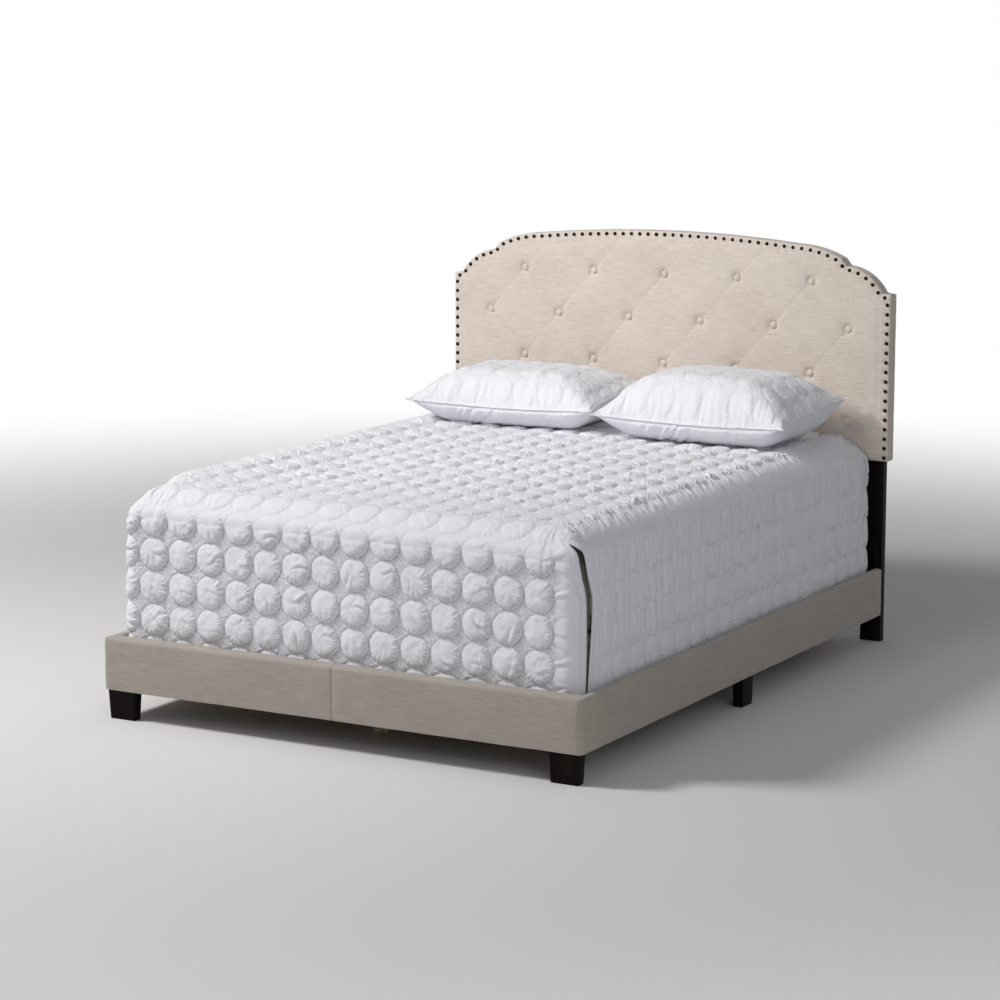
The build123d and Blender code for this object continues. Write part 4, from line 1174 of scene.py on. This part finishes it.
def circle_relief(u, v, puff, seed, gathered=1.0):
    """Height of the quilting over the base cloth at places on the flat cloth."""
    column = np.round((u - CIRCLE_COLUMN) / CIRCLE_PITCH)
    row = np.round((v - first_row) / CIRCLE_PITCH)
    cu = (u - CIRCLE_COLUMN - column * CIRCLE_PITCH) / CIRCLE_RADIUS
    cv = (v - first_row - row * CIRCLE_PITCH) / CIRCLE_RADIUS
    table = np.random.default_rng(seed).random((16, 64, 64))
    draw = table[:, column.astype(int) % 64, row.astype(int) % 64]
    share = (np.abs(cu) ** SQUARISH + np.abs(cv) ** SQUARISH) ** (1 / SQUARISH)
    angle, lean = np.arctan2(cv, cu), (cu - cv) / math.sqrt(2)
    # The filling slips down and to one side, so a circle rises slowly there and falls off steeply opposite
    dome = np.maximum(1 - share ** 2.6, 0) ** (0.60 + 0.50 * smooth_step(0.35, -0.75, lean))
    tilt = cu * (draw[1] - 0.5) + cv * (draw[2] - 0.5)
    height = dome * (DOME_HEIGHT + DOME_CHANCE * draw[0] + DOME_LEAN * lean + DOME_TILT * tilt)
    # The thread gathers the cloth into short puckers, most on the steep side of each circle
    gather = 0.12 + 0.88 * smooth_step(-0.25, 0.75, np.cos(angle + 0.75 + 1.1 * (draw[3] - 0.5)))
    swing = math.tau * draw[5] + 1.7 * np.sin(2 * angle + math.tau * draw[6])
    spokes = np.cos(angle * np.round(17 + 7 * draw[4]) + swing)
    height += PUCKER_SHARE * gathered * spokes * gather * window(share, *PUCKER_RING)
    # Two creases run in from its edge
    for turn, place, depth, wave in (draw[7:11], draw[11:15]):
        turn = -0.75 + 2.6 * (turn - 0.5)
        across = cv * np.cos(turn) - cu * np.sin(turn) - 0.9 * (place - 0.5)
        across = across + 0.10 * np.sin(5 * cu + math.tau * wave)
        reach = smooth_step(-0.45, 0.5, cu * np.cos(turn) + cv * np.sin(turn)) * dome ** 0.7
        fold = 0.65 * hump(across - 0.16, 0.12) - hump(across, 0.08)
        height += (0.16 + 0.60 * depth ** 2) * reach * fold
    rumples = rumple(1, u + 3, v + 3, 0.020, seed + 1) + rumple(0.6, u + 3, v + 3, 0.0095, seed + 2)
    height += RUMPLE_SHARE * rumples * dome ** 0.5
    height += (share >= 1) * rumple(CRINKLE[0], u, v, CRINKLE[1], seed + 3)
    # The stitching sinks in, deeper in some circles than in others
    height -= (0.06 + 0.34 * smooth_step(-0.3, 0.7, draw[14])) * hump(share - 1, 0.05)
    return puff * height


def coverlet_blocks():
    """The top and the three flaps as grids: points, directions, flat places, kind, and places by the slit."""
    along = np.linspace(head_end, foot_inner, round((head_end - foot_inner) / QUILT_STEP) + 1)
    across = np.linspace(-side_inner, side_inner, round(2 * side_inner / QUILT_STEP) + 1)
    downs = np.linspace(0, hang, round(hang / QUILT_STEP) + 1)
    travelled = (np.interp(downs, bend_runs, bend_outs) / bend_out)[None, :]
    x, y = np.meshgrid(across, along, indexing="ij")
    top = np.stack([x, y, np.full_like(x, top_level)], -1)
    blocks = [(top, np.broadcast_to((0, 0, 1.0), top.shape), x, y, "top", 0 * x + 1, 0 * x)]
    down = np.broadcast_to(downs, (1, len(downs)))
    for sign in (-1, 1):
        corner = np.linspace(-corner_half, SLIT_PLACE, round((corner_half + SLIT_PLACE) / QUILT_STEP) + 1)[1:]
        run = np.concatenate([-corner_half - (along - foot_inner), corner])
        points, normals, moved = hanging(run, downs, sign, -1)
        past = (run + corner_half)[:, None]
        v = foot_inner + np.maximum(-past, 0) - np.maximum(past, 0) * travelled
        u = sign * (side_inner + down) + 0 * v
        blocks.append((points, normals, u, v, "side", (SLIT_PLACE - run)[:, None] + 0 * v, moved))
    corner = np.linspace(SLIT_PLACE, corner_half, round((corner_half - SLIT_PLACE) / QUILT_STEP) + 1)[:-1]
    run = np.concatenate([corner, corner_half + side_inner - np.abs(across), corner[::-1]])
    sign = np.concatenate([-np.ones(len(corner)), np.where(across < 0, -1, 1), np.ones(len(corner))])[:, None]
    points, normals, moved = hanging(run, downs, sign, 1)
    u = np.concatenate([0 * corner - side_inner, across, 0 * corner + side_inner])[:, None]
    u = u + sign * np.maximum(corner_half - run, 0)[:, None] * travelled
    v = foot_inner - down + 0 * u
    blocks.append((points, normals, u, v, "foot", (run - SLIT_PLACE)[:, None] + 0 * u, moved))
    return blocks


def worked(points, normals, u, v, kind, to_slit, moved):
    """Quilting, gathers, tucks and slack of one grid; gives its points and how much of it is quilted."""
    down = {"top": 0 * u, "side": np.abs(u) - side_inner, "foot": foot_inner - v}[kind]
    keep, extra = np.ones_like(u), np.zeros_like(u)
    pattern_u, pattern_v = (
        flat + rumple(ROW_DRIFT[0], u, v, ROW_DRIFT[1], 47 + axis)
        + rumple(ROW_WAVER[0], u, v, ROW_WAVER[1], 49 + axis)
        for axis, flat in enumerate((u, v)))
    # The top is puffed up most in the middle of the bed, and presses flatter towards the foot
    top_puff = PUFF * (TOP_LOFT - FOOT_PRESSED * smooth_step(0.45, 0.05, v - foot_inner))
    puff = top_puff + (PUFF - top_puff) * smooth_step(0, 0.06, down)
    over_bend = window(down, *BEND_BAND)
    if kind == "foot":
        puff += LOW_FOOT_PUFF * smooth_step(0.10, 0.19, down) - BEND_PRESSED * over_bend
        # A crease runs along the end of the bend, here and there
        crease = down - FOOT_CREASE - rumple(0.003, u + 5, 0 * u, 0.05, 57)
        lip, groove = (size * hump(crease + above, width)
                       for size, width, above in (CREASE_LIP, CREASE_GROOVE))
        extra += (lip - groove) * smooth_step(0.25, 0.75, value_noise(u + 7, 0 * u, 0.033, 58))
        keep = smooth_step(0.012, 0.030, to_slit)
        keep = np.where(u > CIRCLE_COLUMN + CIRCLE_PITCH / 2, smooth_step(0.10, 0.03, down), keep)
        # Short folds fan out from the last circles towards the right slit
        row = np.round((pattern_v - first_row) / CIRCLE_PITCH)
        fan_u, fan_v = pattern_u - CIRCLE_COLUMN, pattern_v - first_row - row * CIRCLE_PITCH
        reach, turn = np.hypot(fan_u, fan_v), np.arctan2(fan_v, fan_u)
        fan = window(reach, *FAN_RING) * smooth_step(1.0, 0.45, np.abs(turn)) * (u > 0.6)
        extra += rumple(FAN_RISE, turn * 0.5 + 9, reach * 0.6 + row, 0.072, 59) * fan
    elif kind == "side":
        puff = SIDE_PUFF + (top_puff - SIDE_PUFF) * smooth_step(0.05, 0.0, down)
        keep = smooth_step(0.125, 0.146, down) * smooth_step(0.06, 0.10, to_slit)
        keep = smooth_step(0.045, 0.028, down) + keep
        # Tight gathers along the top edge, then long upright wrinkles that die out lower down
        slant = v + 0.55 * down
        tight = rumple(1, slant, down * 0.28, 0.0092, 71) + rumple(0.5, slant + 1, down * 0.4, 0.017, 72)
        extra += np.maximum(GATHER_RISE * tight, -SIDE_INWARD) * window(down, *GATHER_BAND)
        long = 0.5 - np.abs(rumple(2, v, down * 0.08, 0.019, 73)) + rumple(0.8, v, down * 0.12, 0.0095, 74)
        extra += np.maximum(WRINKLE_RISE * long, -SIDE_INWARD) * window(down, *WRINKLE_BAND)
    if kind != "top":
        keep = keep * smooth_step(HEM_TURN, HEM_TURN + 0.012, hang - down)
        edge = np.minimum(hang - down, np.where(down > TUCK_BASE, to_slit, 1))
        extra -= HEM_STITCH[0] * hump(edge - HEM_TURN, HEM_STITCH[1])
        # A small tuck lies over the top of each slit, and the cloth is drawn in beside it
        half = TUCK_HALF * (down - TUCK_APEX) / (TUCK_BASE - TUCK_APEX)
        tuck = smooth_step(0.0, 0.0045, half - np.abs(moved))
        tuck = tuck * smooth_step(TUCK_BASE + 0.010, TUCK_BASE, down)
        near = smooth_step(0.11, 0.05, np.abs(moved)) * window(down, *TUCK_BAND)
        keep = keep * (1 - near)
        pulled = rumple(PULL_RISE, moved + 2, down * 0.25, 0.016, 63) * near * (1 - tuck)
        extra += TUCK_RISE * tuck + pulled * smooth_step(0.015, 0.05, moved)
        drawn = window(moved, *DRAWN_ACROSS) * window(down, *DRAWN_BAND)
        extra += rumple(DRAWN_RISE, moved + 4, down * 0.15, 0.0105, 64) * drawn
    height = circle_relief(pattern_u, pattern_v, puff, 51, 0.4 + 0.6 * smooth_step(0, 0.02, down)) * keep
    height += (1 - keep) * rumple(GROUND_RISE, u * 0.6, v * 2.0, 0.017, 61) + extra
    height += rumple(SAG_RISE, points[..., 0], points[..., 1] + points[..., 2], 0.30, 81)
    points = points + normals * height[..., None]
    level = normals * (1, 1, 0)
    if kind != "top":
        sway = value_noise(u, v * 0.4, 0.26, 91) if kind == "foot" else value_noise(u * 0.4, v, 0.26, 92)
        points += level * (SWAY * sway * smooth_step(0.16, 0.42, down))[..., None]
    # On the left it stands off the mattress in a fuller roll, and the foot corner bulges
    lifted = smooth_step(*LIFT_ASIDE, -points[..., 0]) * smooth_step(*LIFT_BACK, points[..., 1])
    points[..., 2] += LEFT_LIFT * lifted * smooth_step(*LIFT_UP, points[..., 2])
    if kind == "side":
        roll = window(down, *ROLL_BAND) * smooth_step(-0.90, -0.78, points[..., 1]) * (u < 0)
        points += normals * (LEFT_FULL * roll)[..., None]
    if kind != "top":
        bulge = hump(moved, 0.075) * smooth_step(0.08, 0.16, down) * (points[..., 0] < 0)
        points += level * (LEFT_BULGE * bulge)[..., None]
    # The cloth droops into a wider shoulder at the head end
    shoulder = smooth_step(*SHOULDER_ASIDE, np.abs(points[..., 0]))
    shoulder = shoulder * smooth_step(*SHOULDER_BACK, points[..., 1])
    points[..., 2] -= SHOULDER_DROP * shoulder * smooth_step(*SHOULDER_UP, points[..., 2])
    # The stitching, and the painted shade on it and on the ground, show less on the top, over the foot's
    # bend, and down the sides and near the head
    if kind == "top":
        keep = keep * 0.7
    elif kind == "foot":
        keep = keep * (1 - 0.6 * over_bend)
    else:
        keep = keep * (1 - 0.45 * smooth_step(0.03, 0.10, down)) * smooth_step(0.96, 0.90, points[..., 1])
    return points, pattern_u, pattern_v, keep


def turned_hem(edge, inside, normals, u, v):
    """Strip that rounds over from an edge of the cloth and lies back under it."""
    across = edge - inside
    across /= np.maximum(np.linalg.norm(across, axis=-1, keepdims=True), 1e-9)
    rows = np.stack([edge] + [edge + across * out - normals * under for out, under in HEM_SECTION])
    shape = rows.shape[:2]
    return rows, np.broadcast_to(normals, rows.shape), np.broadcast_to(u, shape), np.broadcast_to(v, shape)


def mark_quilting(mesh, marks):
    """Store how much of the stitching, and of the painted shade on it and on the ground, shows at each point.
    """
    mesh.attributes.new("quilting", "FLOAT", "POINT").data.foreach_set("value", marks.astype(np.float32))


def build_coverlet():
    """The four grids with their hems, sewn together where they meet."""
    stack = []
    for points, normals, u, v, kind, to_slit, moved in coverlet_blocks():
        shaped, pattern_u, pattern_v, keep = worked(points, normals, u, v, kind, to_slit, moved)
        stack.append((shaped, normals, pattern_u, pattern_v, keep))
        # A hem runs along the top's head end, and along the foot of each flap, its head end and its slits
        slit = int(np.argmax(points[0, :, 2] < SLIT_LEVELS[-2]))
        edges = {"top": [(np.s_[:, 0], np.s_[:, 2])],
                 "side": [(np.s_[:, -1], np.s_[:, -3]), (np.s_[0, :], np.s_[2, :]),
                          (np.s_[-1, slit:], np.s_[-3, slit:])],
                 "foot": [(np.s_[:, -1], np.s_[:, -3]), (np.s_[0, slit:], np.s_[2, slit:]),
                          (np.s_[-1, slit:], np.s_[-3, slit:])]}[kind]
        for rim, inside in edges:
            strip = turned_hem(shaped[rim], shaped[inside], normals[rim], pattern_u[rim], pattern_v[rim])
            stack.append((*strip, np.zeros(strip[2].shape)))
    all_points, all_faces, cloth, marks = [], [], [], []
    start = 0
    for points, normals, u, v, keep in stack:
        rows, columns = u.shape
        quads = grid_faces(np.arange(rows * columns).reshape(rows, columns))
        # Turned outward as a whole; a hem's strip by its first row of faces alone
        tried = quads[:columns - 1] if rows == len(HEM_SECTION) + 1 else quads
        flat, outward = points.reshape(-1, 3), normals.reshape(-1, 3)
        corner = flat[tried[:, 0]]
        facing = np.cross(flat[tried[:, 1]] - corner, flat[tried[:, 3]] - corner)
        if (facing * outward[tried[:, 0]]).sum() < 0:
            quads = quads[:, ::-1]
        all_points.append(flat)
        all_faces.append(start + quads)
        cloth.append(np.column_stack([u.ravel(), v.ravel()]))
        marks.append(keep.ravel())
        start += rows * columns
    piece = new_piece("quilted_coverlet", np.concatenate(all_points), np.concatenate(all_faces))
    lay_cloth(piece.data, *np.concatenate(cloth).T)
    mark_quilting(piece.data, np.concatenate(marks))
    weld(piece, COVERLET_MELT_REACH)
    return settled(piece)


# The darker tone shows mostly where painted shade darkens the stitching and the ground between the circles
COTTON_LIGHT = (0.805, 0.808, 0.850)
COTTON_DARK = (0.695, 0.70, 0.75)
STITCH_HALF = 0.0011
STITCHES_ROUND = 96
# The wrapped place in a circle's square has to start below nothing: so many circles away from the middle
WRAP_COUNT = 40


def product(material, *values):
    """All of the values multiplied together."""
    made = values[0]
    for value in values[1:]:
        made = combine(material, "MULTIPLY", made, value)
    return made


def quilted_cotton(name):
    """Brushed white cotton: soft in the circles, crinkled between them, sunk along the lines of stitching."""
    material, shader = new_finish(name, 0.74, sheen=0.15)
    quilted = put(material, "ShaderNodeAttribute", {"attribute_name": "quilting"}).outputs["Fac"]
    split = put(material, "ShaderNodeSeparateXYZ", None, cloth_place(material))
    # Place within the circle's own square, from -1 to 1 at its stitching
    local = []
    for axis, centre in ((0, CIRCLE_COLUMN), (1, first_row)):
        moved = combine(material, "SUBTRACT", split.outputs[axis], centre - (WRAP_COUNT + 0.5) * CIRCLE_PITCH)
        wrapped = combine(material, "MODULO", moved, CIRCLE_PITCH)
        centred = combine(material, "SUBTRACT", wrapped, CIRCLE_PITCH / 2)
        local.append(combine(material, "DIVIDE", centred, CIRCLE_RADIUS))
    powers = [combine(material, "POWER", combine(material, "ABSOLUTE", side), SQUARISH) for side in local]
    share = combine(material, "POWER", combine(material, "ADD", *powers), 1 / SQUARISH)
    # The steep side of each circle, its lower right, which is turned from the light
    steep = mapped(material, combine(material, "SUBTRACT", *local), -0.5, 1.1, 0.12, 1.0, "SMOOTHSTEP")
    off = combine(material, "ABSOLUTE", combine(material, "SUBTRACT", share, 1.0))
    line = mapped(material, off, 0.0, STITCH_HALF / CIRCLE_RADIUS, 1.0, 0.0, "SMOOTHSTEP")
    turn = combine(material, "ARCTAN2", local[1], local[0])
    thread = combine(material, "SINE", combine(material, "MULTIPLY", turn, STITCHES_ROUND / 2))
    thread = combine(material, "ABSOLUTE", thread)
    # The stitch line, strongest on the steep side: it sinks in as a bump and darkens the colour there as
    # painted shade
    stitch_with_painted_shade = product(material, line, steep, quilted)
    sunk = combine(material, "MULTIPLY", stitch_with_painted_shade, combine(material, "MULTIPLY_ADD", thread, -0.45, 1.0))
    # Short fine puckers inside the steep side of each circle
    band = mapped(material, share, 0.58, 0.86, kind="SMOOTHSTEP")
    rim = mapped(material, share, 1.0, 0.95, kind="SMOOTHSTEP")
    swing = combine(material, "MULTIPLY", noise(material, cloth_place(material, 30.0, 30.0), 2.0), 9.0)
    spokes = combine(material, "SINE", combine(material, "MULTIPLY_ADD", turn, 27.0, swing))
    puckers = product(material, spokes, steep, band, rim, quilted)
    # Pebbled ground between the circles, creases and nap all over
    pebble = cells(material, cloth_place(material, 210.0, 210.0))
    # The ground between the circles, a bump and also darkened in its pebbles' crevices as painted shade
    ground = product(material, pebble, quilted, mapped(material, share, 1.0, 1.04))
    creases = noise(material, cloth_place(material, 52.0, 60.0), 5.0, 0.62, 1.0)
    nap = noise(material, cloth_place(material, 420.0, 420.0), 2.0)
    weave = bands(material, "DIAGONAL", 620.0)
    # Colour: the nap's random tone, darkened as painted shade along the stitch line's steep side and in the
    # pebbled ground
    shade = combine(material, "MULTIPLY_ADD", nap, 0.35, 0.12)
    for painted_shade, weight in ((stitch_with_painted_shade, 0.12), (ground, 0.16)):
        shade = combine(material, "SUBTRACT", shade, combine(material, "MULTIPLY", painted_shade, weight))
    colour = tones(material, shade, (0.0, COTTON_DARK), (0.24, COTTON_LIGHT))
    return finish_with(material, shader, colour,
                       ((combine(material, "SUBTRACT", 1.0, sunk), 0.8, 0.0011), (puckers, 0.7, 0.0010),
                        (ground, 0.9, 0.0022), (creases, 0.35, 0.0026), (nap, 0.2, 0.0005),
                        (weave, 0.1, 0.0002)))


cotton = quilted_cotton("quilted_white_cotton")
coverlet = build_coverlet()
coverlet.data.materials.clear()
coverlet.data.materials.append(cotton)
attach(coverlet, "mattress")
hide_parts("coverlet")


# Pillows.
# Down-filled pillows in sewn shams: an upper cloth quilted in the coverlet's circles and a plain lower one,
# closed by a seam round the edge that pulls the corners out into small ears. Each lies loose on the coverlet.
SHAM_CUT = (0.770, 0.590)
SHAM_CELL = 0.0046
SEAM_ROWS = (0.0, 0.0014, 0.0030, 0.0052)
SEAM_SHARE = 0.42
BACK_LIFT = 0.044
SEAM_SAG = 0.016
ENDS_DRAWN = 0.018
SIDES_DRAWN = 0.030
UPPER_RUNS = (0.200, 0.128)
UNDER_RUNS = (0.140, 0.118)
SHAM_PUFF = 0.0031
UNDER_BULGE = 0.011
COLUMN_SHIFT = 0.014
ROW_SHIFT = 0.2475
# How the rim is drawn in along its ends and sides, its drooping ears, the gap left under the cloth, and how
# fully the upper and the lower cloth round up from each
DRAWN_ENDS_ARC = 0.80
DRAWN_SIDES_ARC = 0.95
EAR_DROOP = 0.004
REST_GAP = 0.0015
UPPER_POWERS = (2.3, 2.9)
UNDER_POWERS = (2.6, 3.0)
# Full heights of the puckers, fine and wide wrinkles above, slanting wrinkles below, more so in one stretch
UPPER_PUCKER = 0.0034
UNDER_PUCKER = 0.0030
FINE_RISE = 0.0026
WIDE_RISE = 0.0040
SLANT_RISE = 0.0014
CREASED_RISE = 0.0080
CREASED_ACROSS = (-0.20, -0.14, -0.04, 0.03)
# The seam's lip and wave, the groove behind it and the belly under it, by the distance from the seam
SEAM_LIP = 0.0030
SEAM_WAVE = 0.0040
SEAM_GROOVE = 0.0030
GROOVE_BAND = (0.0, 0.0035, 0.012, 0.05)
BELLY_BAND = (0.0, 0.022, 0.035, 0.10)
SHAM_STITCHING = 0.6
# Height of each pillow's top, its turn in degrees, and how far back the left one's front and back edges lie
LEFT_TOP = 0.880
RIGHT_TOP = 0.912
LEFT_TURN = 3.0
RIGHT_TURN = -0.8
LEFT_BACK = (0.045, 0.020)


def seam_places(half):
    """Places across a sham from -1 to 1, closer together beside the seam."""
    even = np.linspace(SEAM_ROWS[-1] - half, half - SEAM_ROWS[-1], round(2 * half / SHAM_CELL))
    rim = half - np.array(SEAM_ROWS[:-1])
    return np.concatenate([-rim, even, rim[::-1]]) / half


def swelling(from_end, from_side, runs, powers):
    """Share of the full height by the distances from the seam, rounding up from it and flat in the middle."""
    return np.prod([1 - (1 - np.clip(gap / run, 0, 1)) ** power
                    for gap, run, power in zip((from_end, from_side), runs, powers)], 0)


def filled_sham(name, low, high, top, turn, seed):
    """Both cloths over a settled filling, sharing their rim; the lower one lies flat where it rests."""
    low, high = np.array(low), np.array(high)
    half, reach = np.array(SHAM_CUT) / 2, (high - low)[:2] / 2
    s, t = np.meshgrid(*(seam_places(side) for side in half), indexing="ij")
    u, v = s * half[0], t * half[1]
    edge_x = reach[0] - ENDS_DRAWN * (1 - t ** 4) + rumple(0.004, v + 1, 0 * v, 0.06, seed)
    edge_y = reach[1] - SIDES_DRAWN * (1 - s ** 4) + rumple(0.006, u + 1, 0 * u, 0.07, seed + 1)
    x = edge_x * np.sin(DRAWN_ENDS_ARC * s) / math.sin(DRAWN_ENDS_ARC)
    y = edge_y * np.sin(DRAWN_SIDES_ARC * t) / math.sin(DRAWN_SIDES_ARC)
    from_end, from_side = edge_x - np.abs(x), edge_y - np.abs(y)
    rest = low[2] + REST_GAP
    seam = low[2] + (high[2] - low[2]) * SEAM_SHARE + BACK_LIFT * (t + 1) / 2
    seam = seam - SEAM_SAG * (1 - s ** 2) * (1 - t) / 2
    seam = seam - EAR_DROOP * np.exp(-4 * (1 - np.abs(s)) - 4 * (1 - np.abs(t)))
    slump = 1 + rumple(0.09, x + 5, y + 5, 0.16, seed + 2)
    over = seam + (top - seam) * slump * swelling(from_end, from_side, UPPER_RUNS, UPPER_POWERS)
    under = seam - (seam - rest) * swelling(from_end, from_side, UNDER_RUNS, UNDER_POWERS)
    inner = (np.abs(s) < 1) & (np.abs(t) < 1)
    upper = np.arange(s.size).reshape(s.shape)
    lower = upper.copy()
    lower[inner] = s.size + np.arange(inner.sum())
    points = np.concatenate([np.stack([x, y, over], -1).reshape(-1, 3), np.stack([x, y, under], -1)[inner]])
    pillow = new_piece(name, points, np.concatenate([grid_faces(upper), grid_faces(lower)[:, ::-1]]))
    pillow.data.update()
    normals = normals_of(pillow.data)

    rim = np.minimum(half[0] - np.abs(u), half[1] - np.abs(v))
    along = np.where(half[0] - np.abs(u) < half[1] - np.abs(v), v, u)
    pattern_u, pattern_v = (
        flat + shift + rumple(0.004, u + 2, v + 2, 0.05, seed + 3 + axis)
        for axis, (flat, shift) in enumerate(((u, CIRCLE_COLUMN + COLUMN_SHIFT), (v, first_row + ROW_SHIFT))))
    quilted = smooth_step(0.004, 0.012, rim)
    # Puckers run in from the seam, fine upright wrinkles cross the front, slanting ones the plain underside
    pucker = rumple(1, along + 3, rim * 0.3 + 1, 0.0105, seed + 5) * smooth_step(0.045, 0.003, rim)
    fine = rumple(FINE_RISE, u + 3, v * 0.22 + 3, 0.0105, seed + 6) * smooth_step(0.20, 0.05, half[1] + v)
    wide = rumple(WIDE_RISE, u + 4, v * 0.5 + 4, 0.034, seed + 7) * quilted
    above = circle_relief(pattern_u, pattern_v, SHAM_PUFF, seed + 9, 0.6) * quilted
    above = above + UPPER_PUCKER * pucker + fine + wide
    slant = rumple(1, u + 0.75 * v + 4, (v - 0.75 * u + 4) * 0.10, 0.0125, seed + 8)
    slant = slant * smooth_step(0.0, 0.012, rim)
    below = UNDER_PUCKER * pucker + (SLANT_RISE + CREASED_RISE * window(u, *CREASED_ACROSS)) * slant
    below = below - SEAM_GROOVE * window(rim, *GROOVE_BAND)
    # The seam stands out as a narrow lip, and the plain cloth swells forward under it
    lip = SEAM_LIP * smooth_step(0.0045, 0.0, rim)
    belly = UNDER_BULGE * window(rim, *BELLY_BAND)
    to_end = from_end < from_side
    outward = np.stack([np.where(to_end, np.sign(s), 0), np.where(to_end, 0, np.sign(t))], -1)

    def both(on_upper, on_lower):
        """Values at the upper cloth's points, then at the lower one's, which lie inside the seam."""
        return np.concatenate([on_upper.reshape(s.size, *on_upper.shape[2:]), on_lower[inner]])

    points += normals * both(above * (rim > 0), below)[:, None]
    points[:, :2] += both(outward * lip[..., None], outward * (lip + belly)[..., None])
    points[:, 2] += both(SEAM_WAVE * pucker * (rim <= 0), 0 * rim)
    angle = math.radians(turn)
    spin = np.array([[math.cos(angle), -math.sin(angle)], [math.sin(angle), math.cos(angle)]])
    points[:, :2] = points[:, :2] @ spin.T + (low + high)[:2] / 2
    points[:, 2] = np.maximum(points[:, 2], rest)
    set_points(pillow.data, points)
    lay_cloth(pillow.data, both(pattern_u, pattern_u), both(pattern_v, pattern_v))
    mark_quilting(pillow.data, both(SHAM_STITCHING * quilted, 0 * quilted))
    pillow.data.materials.append(cotton)
    return pillow


left_low, left_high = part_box("sham_left")
right_low, right_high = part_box("sham_right")
# The left one lies a little further back than its place in the frame, and turned
left_low, left_high = np.add(left_low, (0, LEFT_BACK[0], 0)), np.add(left_high, (0, LEFT_BACK[1], 0))
for side, low, high, top, turn, seed in (("left", left_low, left_high, LEFT_TOP, LEFT_TURN, 101),
                                         ("right", right_low, right_high, RIGHT_TOP, RIGHT_TURN, 131)):
    pillow = filled_sham(f"quilted_sham_{side}", low, high, top, turn, seed)
    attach(pillow, f"{side}_pillow")
    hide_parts(f"sham_{side}", f"pillow_{side}")


# Studio.
# A pale floor, soft light from the upper left, and the photograph's camera.
FLOOR_RADIUS = 16.0
FLOOR_COLOUR = (0.80, 0.79, 0.775, 1)
FLOOR_SIDES = 96
# The floor fades to plain white between these distances, where it is seen and not where it lights the bed
FADE_START = 2.2
FADE_END = 6.5
SKY_COLOUR = (0.93, 0.96, 1.0, 1)
SKY_STRENGTH = 0.23
LAMP_COLOUR = (1.0, 0.99, 0.975)
FILL_COLOUR = (0.98, 0.985, 1.0)
WHITE = (1, 1, 1, 1)


def in_sight(material):
    """1 for what is seen directly, in a gloss or through glass, 0 for light that falls on the bed."""
    path = put(material, "ShaderNodeLightPath")
    through = combine(material, "MAXIMUM", path.outputs["Is Glossy Ray"], path.outputs["Is Transmission Ray"])
    return combine(material, "MAXIMUM", path.outputs["Is Camera Ray"], through)


def mixed_out(material, share, first, second, out):
    """Mix two shaders and join them to the output."""
    both = put(material, "ShaderNodeMixShader", None, share, first.outputs[0], second.outputs[0])
    put(material, out, None, both.outputs[0])


def studio_floor():
    turns = [math.tau * k / FLOOR_SIDES for k in range(FLOOR_SIDES)]
    rim = [(FLOOR_RADIUS * math.cos(turn), FLOOR_RADIUS * math.sin(turn), 0) for turn in turns]
    floor = new_piece("studio_floor", rim, [tuple(range(FLOOR_SIDES))])
    material = bpy.data.materials.new("pale_floor")
    material.use_nodes = True
    material.node_tree.nodes.clear()
    matt = put(material, "ShaderNodeBsdfDiffuse", None, Color=FLOOR_COLOUR)
    glow = put(material, "ShaderNodeEmission", None, Color=WHITE, Strength=1.0)
    place = put(material, "ShaderNodeTexCoord").outputs["Object"]
    distance = put(material, "ShaderNodeVectorMath", {"operation": "LENGTH"}, place).outputs["Value"]
    far = mapped(material, distance, FADE_START, FADE_END, kind="SMOOTHSTEP")
    share = combine(material, "MULTIPLY", in_sight(material), far)
    mixed_out(material, share, matt, glow, "ShaderNodeOutputMaterial")
    floor.data.materials.append(material)


def studio_world():
    world = bpy.data.worlds.new("studio")
    bpy.context.scene.world = world
    world.use_nodes = True
    world.node_tree.nodes.clear()
    soft = put(world, "ShaderNodeBackground", None, SKY_COLOUR, SKY_STRENGTH)
    white = put(world, "ShaderNodeBackground", None, WHITE, 1.0)
    mixed_out(world, in_sight(world), soft, white, "ShaderNodeOutputWorld")


def soft_box(name, place, target, size, power, colour, spread=180):
    """Flat lamp of a size in metres and a power in watts, turned to a target, its light spread in degrees."""
    lamp = bpy.data.lights.new(name, "AREA")
    lamp.spread = math.radians(spread)
    lamp.shape = "RECTANGLE"
    lamp.size, lamp.size_y = size
    lamp.energy = power
    lamp.color = colour
    holder = bpy.data.objects.new(name, lamp)
    holder.location = place
    holder.rotation_euler = (Vector(target) - Vector(place)).to_track_quat("-Z", "Y").to_euler()
    bpy.context.scene.collection.objects.link(holder)


studio_floor()
studio_world()
soft_box("key_light", (-3.2, -2.6, 4.4), (0.1, 0.2, 0.6), (1.2, 1.2), 208, LAMP_COLOUR)
soft_box("head_light", (-0.4, -2.2, 2.7), (0.15, 1.05, 1.0), (1.0, 1.0), 3.1, LAMP_COLOUR, 56)
soft_box("fill_light", (4.6, -4.6, 2.5), (0.0, 0.0, 0.5), (3.5, 2.5), 46, FILL_COLOUR)

camera_data = bpy.data.cameras.new("photo_camera")
camera_data.lens = 106.98
camera_data.sensor_width = 36.0
camera_data.clip_end = 100.0
camera = bpy.data.objects.new("photo_camera", camera_data)
camera.location = (4.4313, -7.9874, 2.1228)
camera.rotation_euler = tuple(math.radians(angle) for angle in (80.317, -0.059, 29.361))
bpy.context.scene.collection.objects.link(camera)
bpy.context.scene.camera = camera
bpy.context.scene.view_settings.view_transform = "Standard"
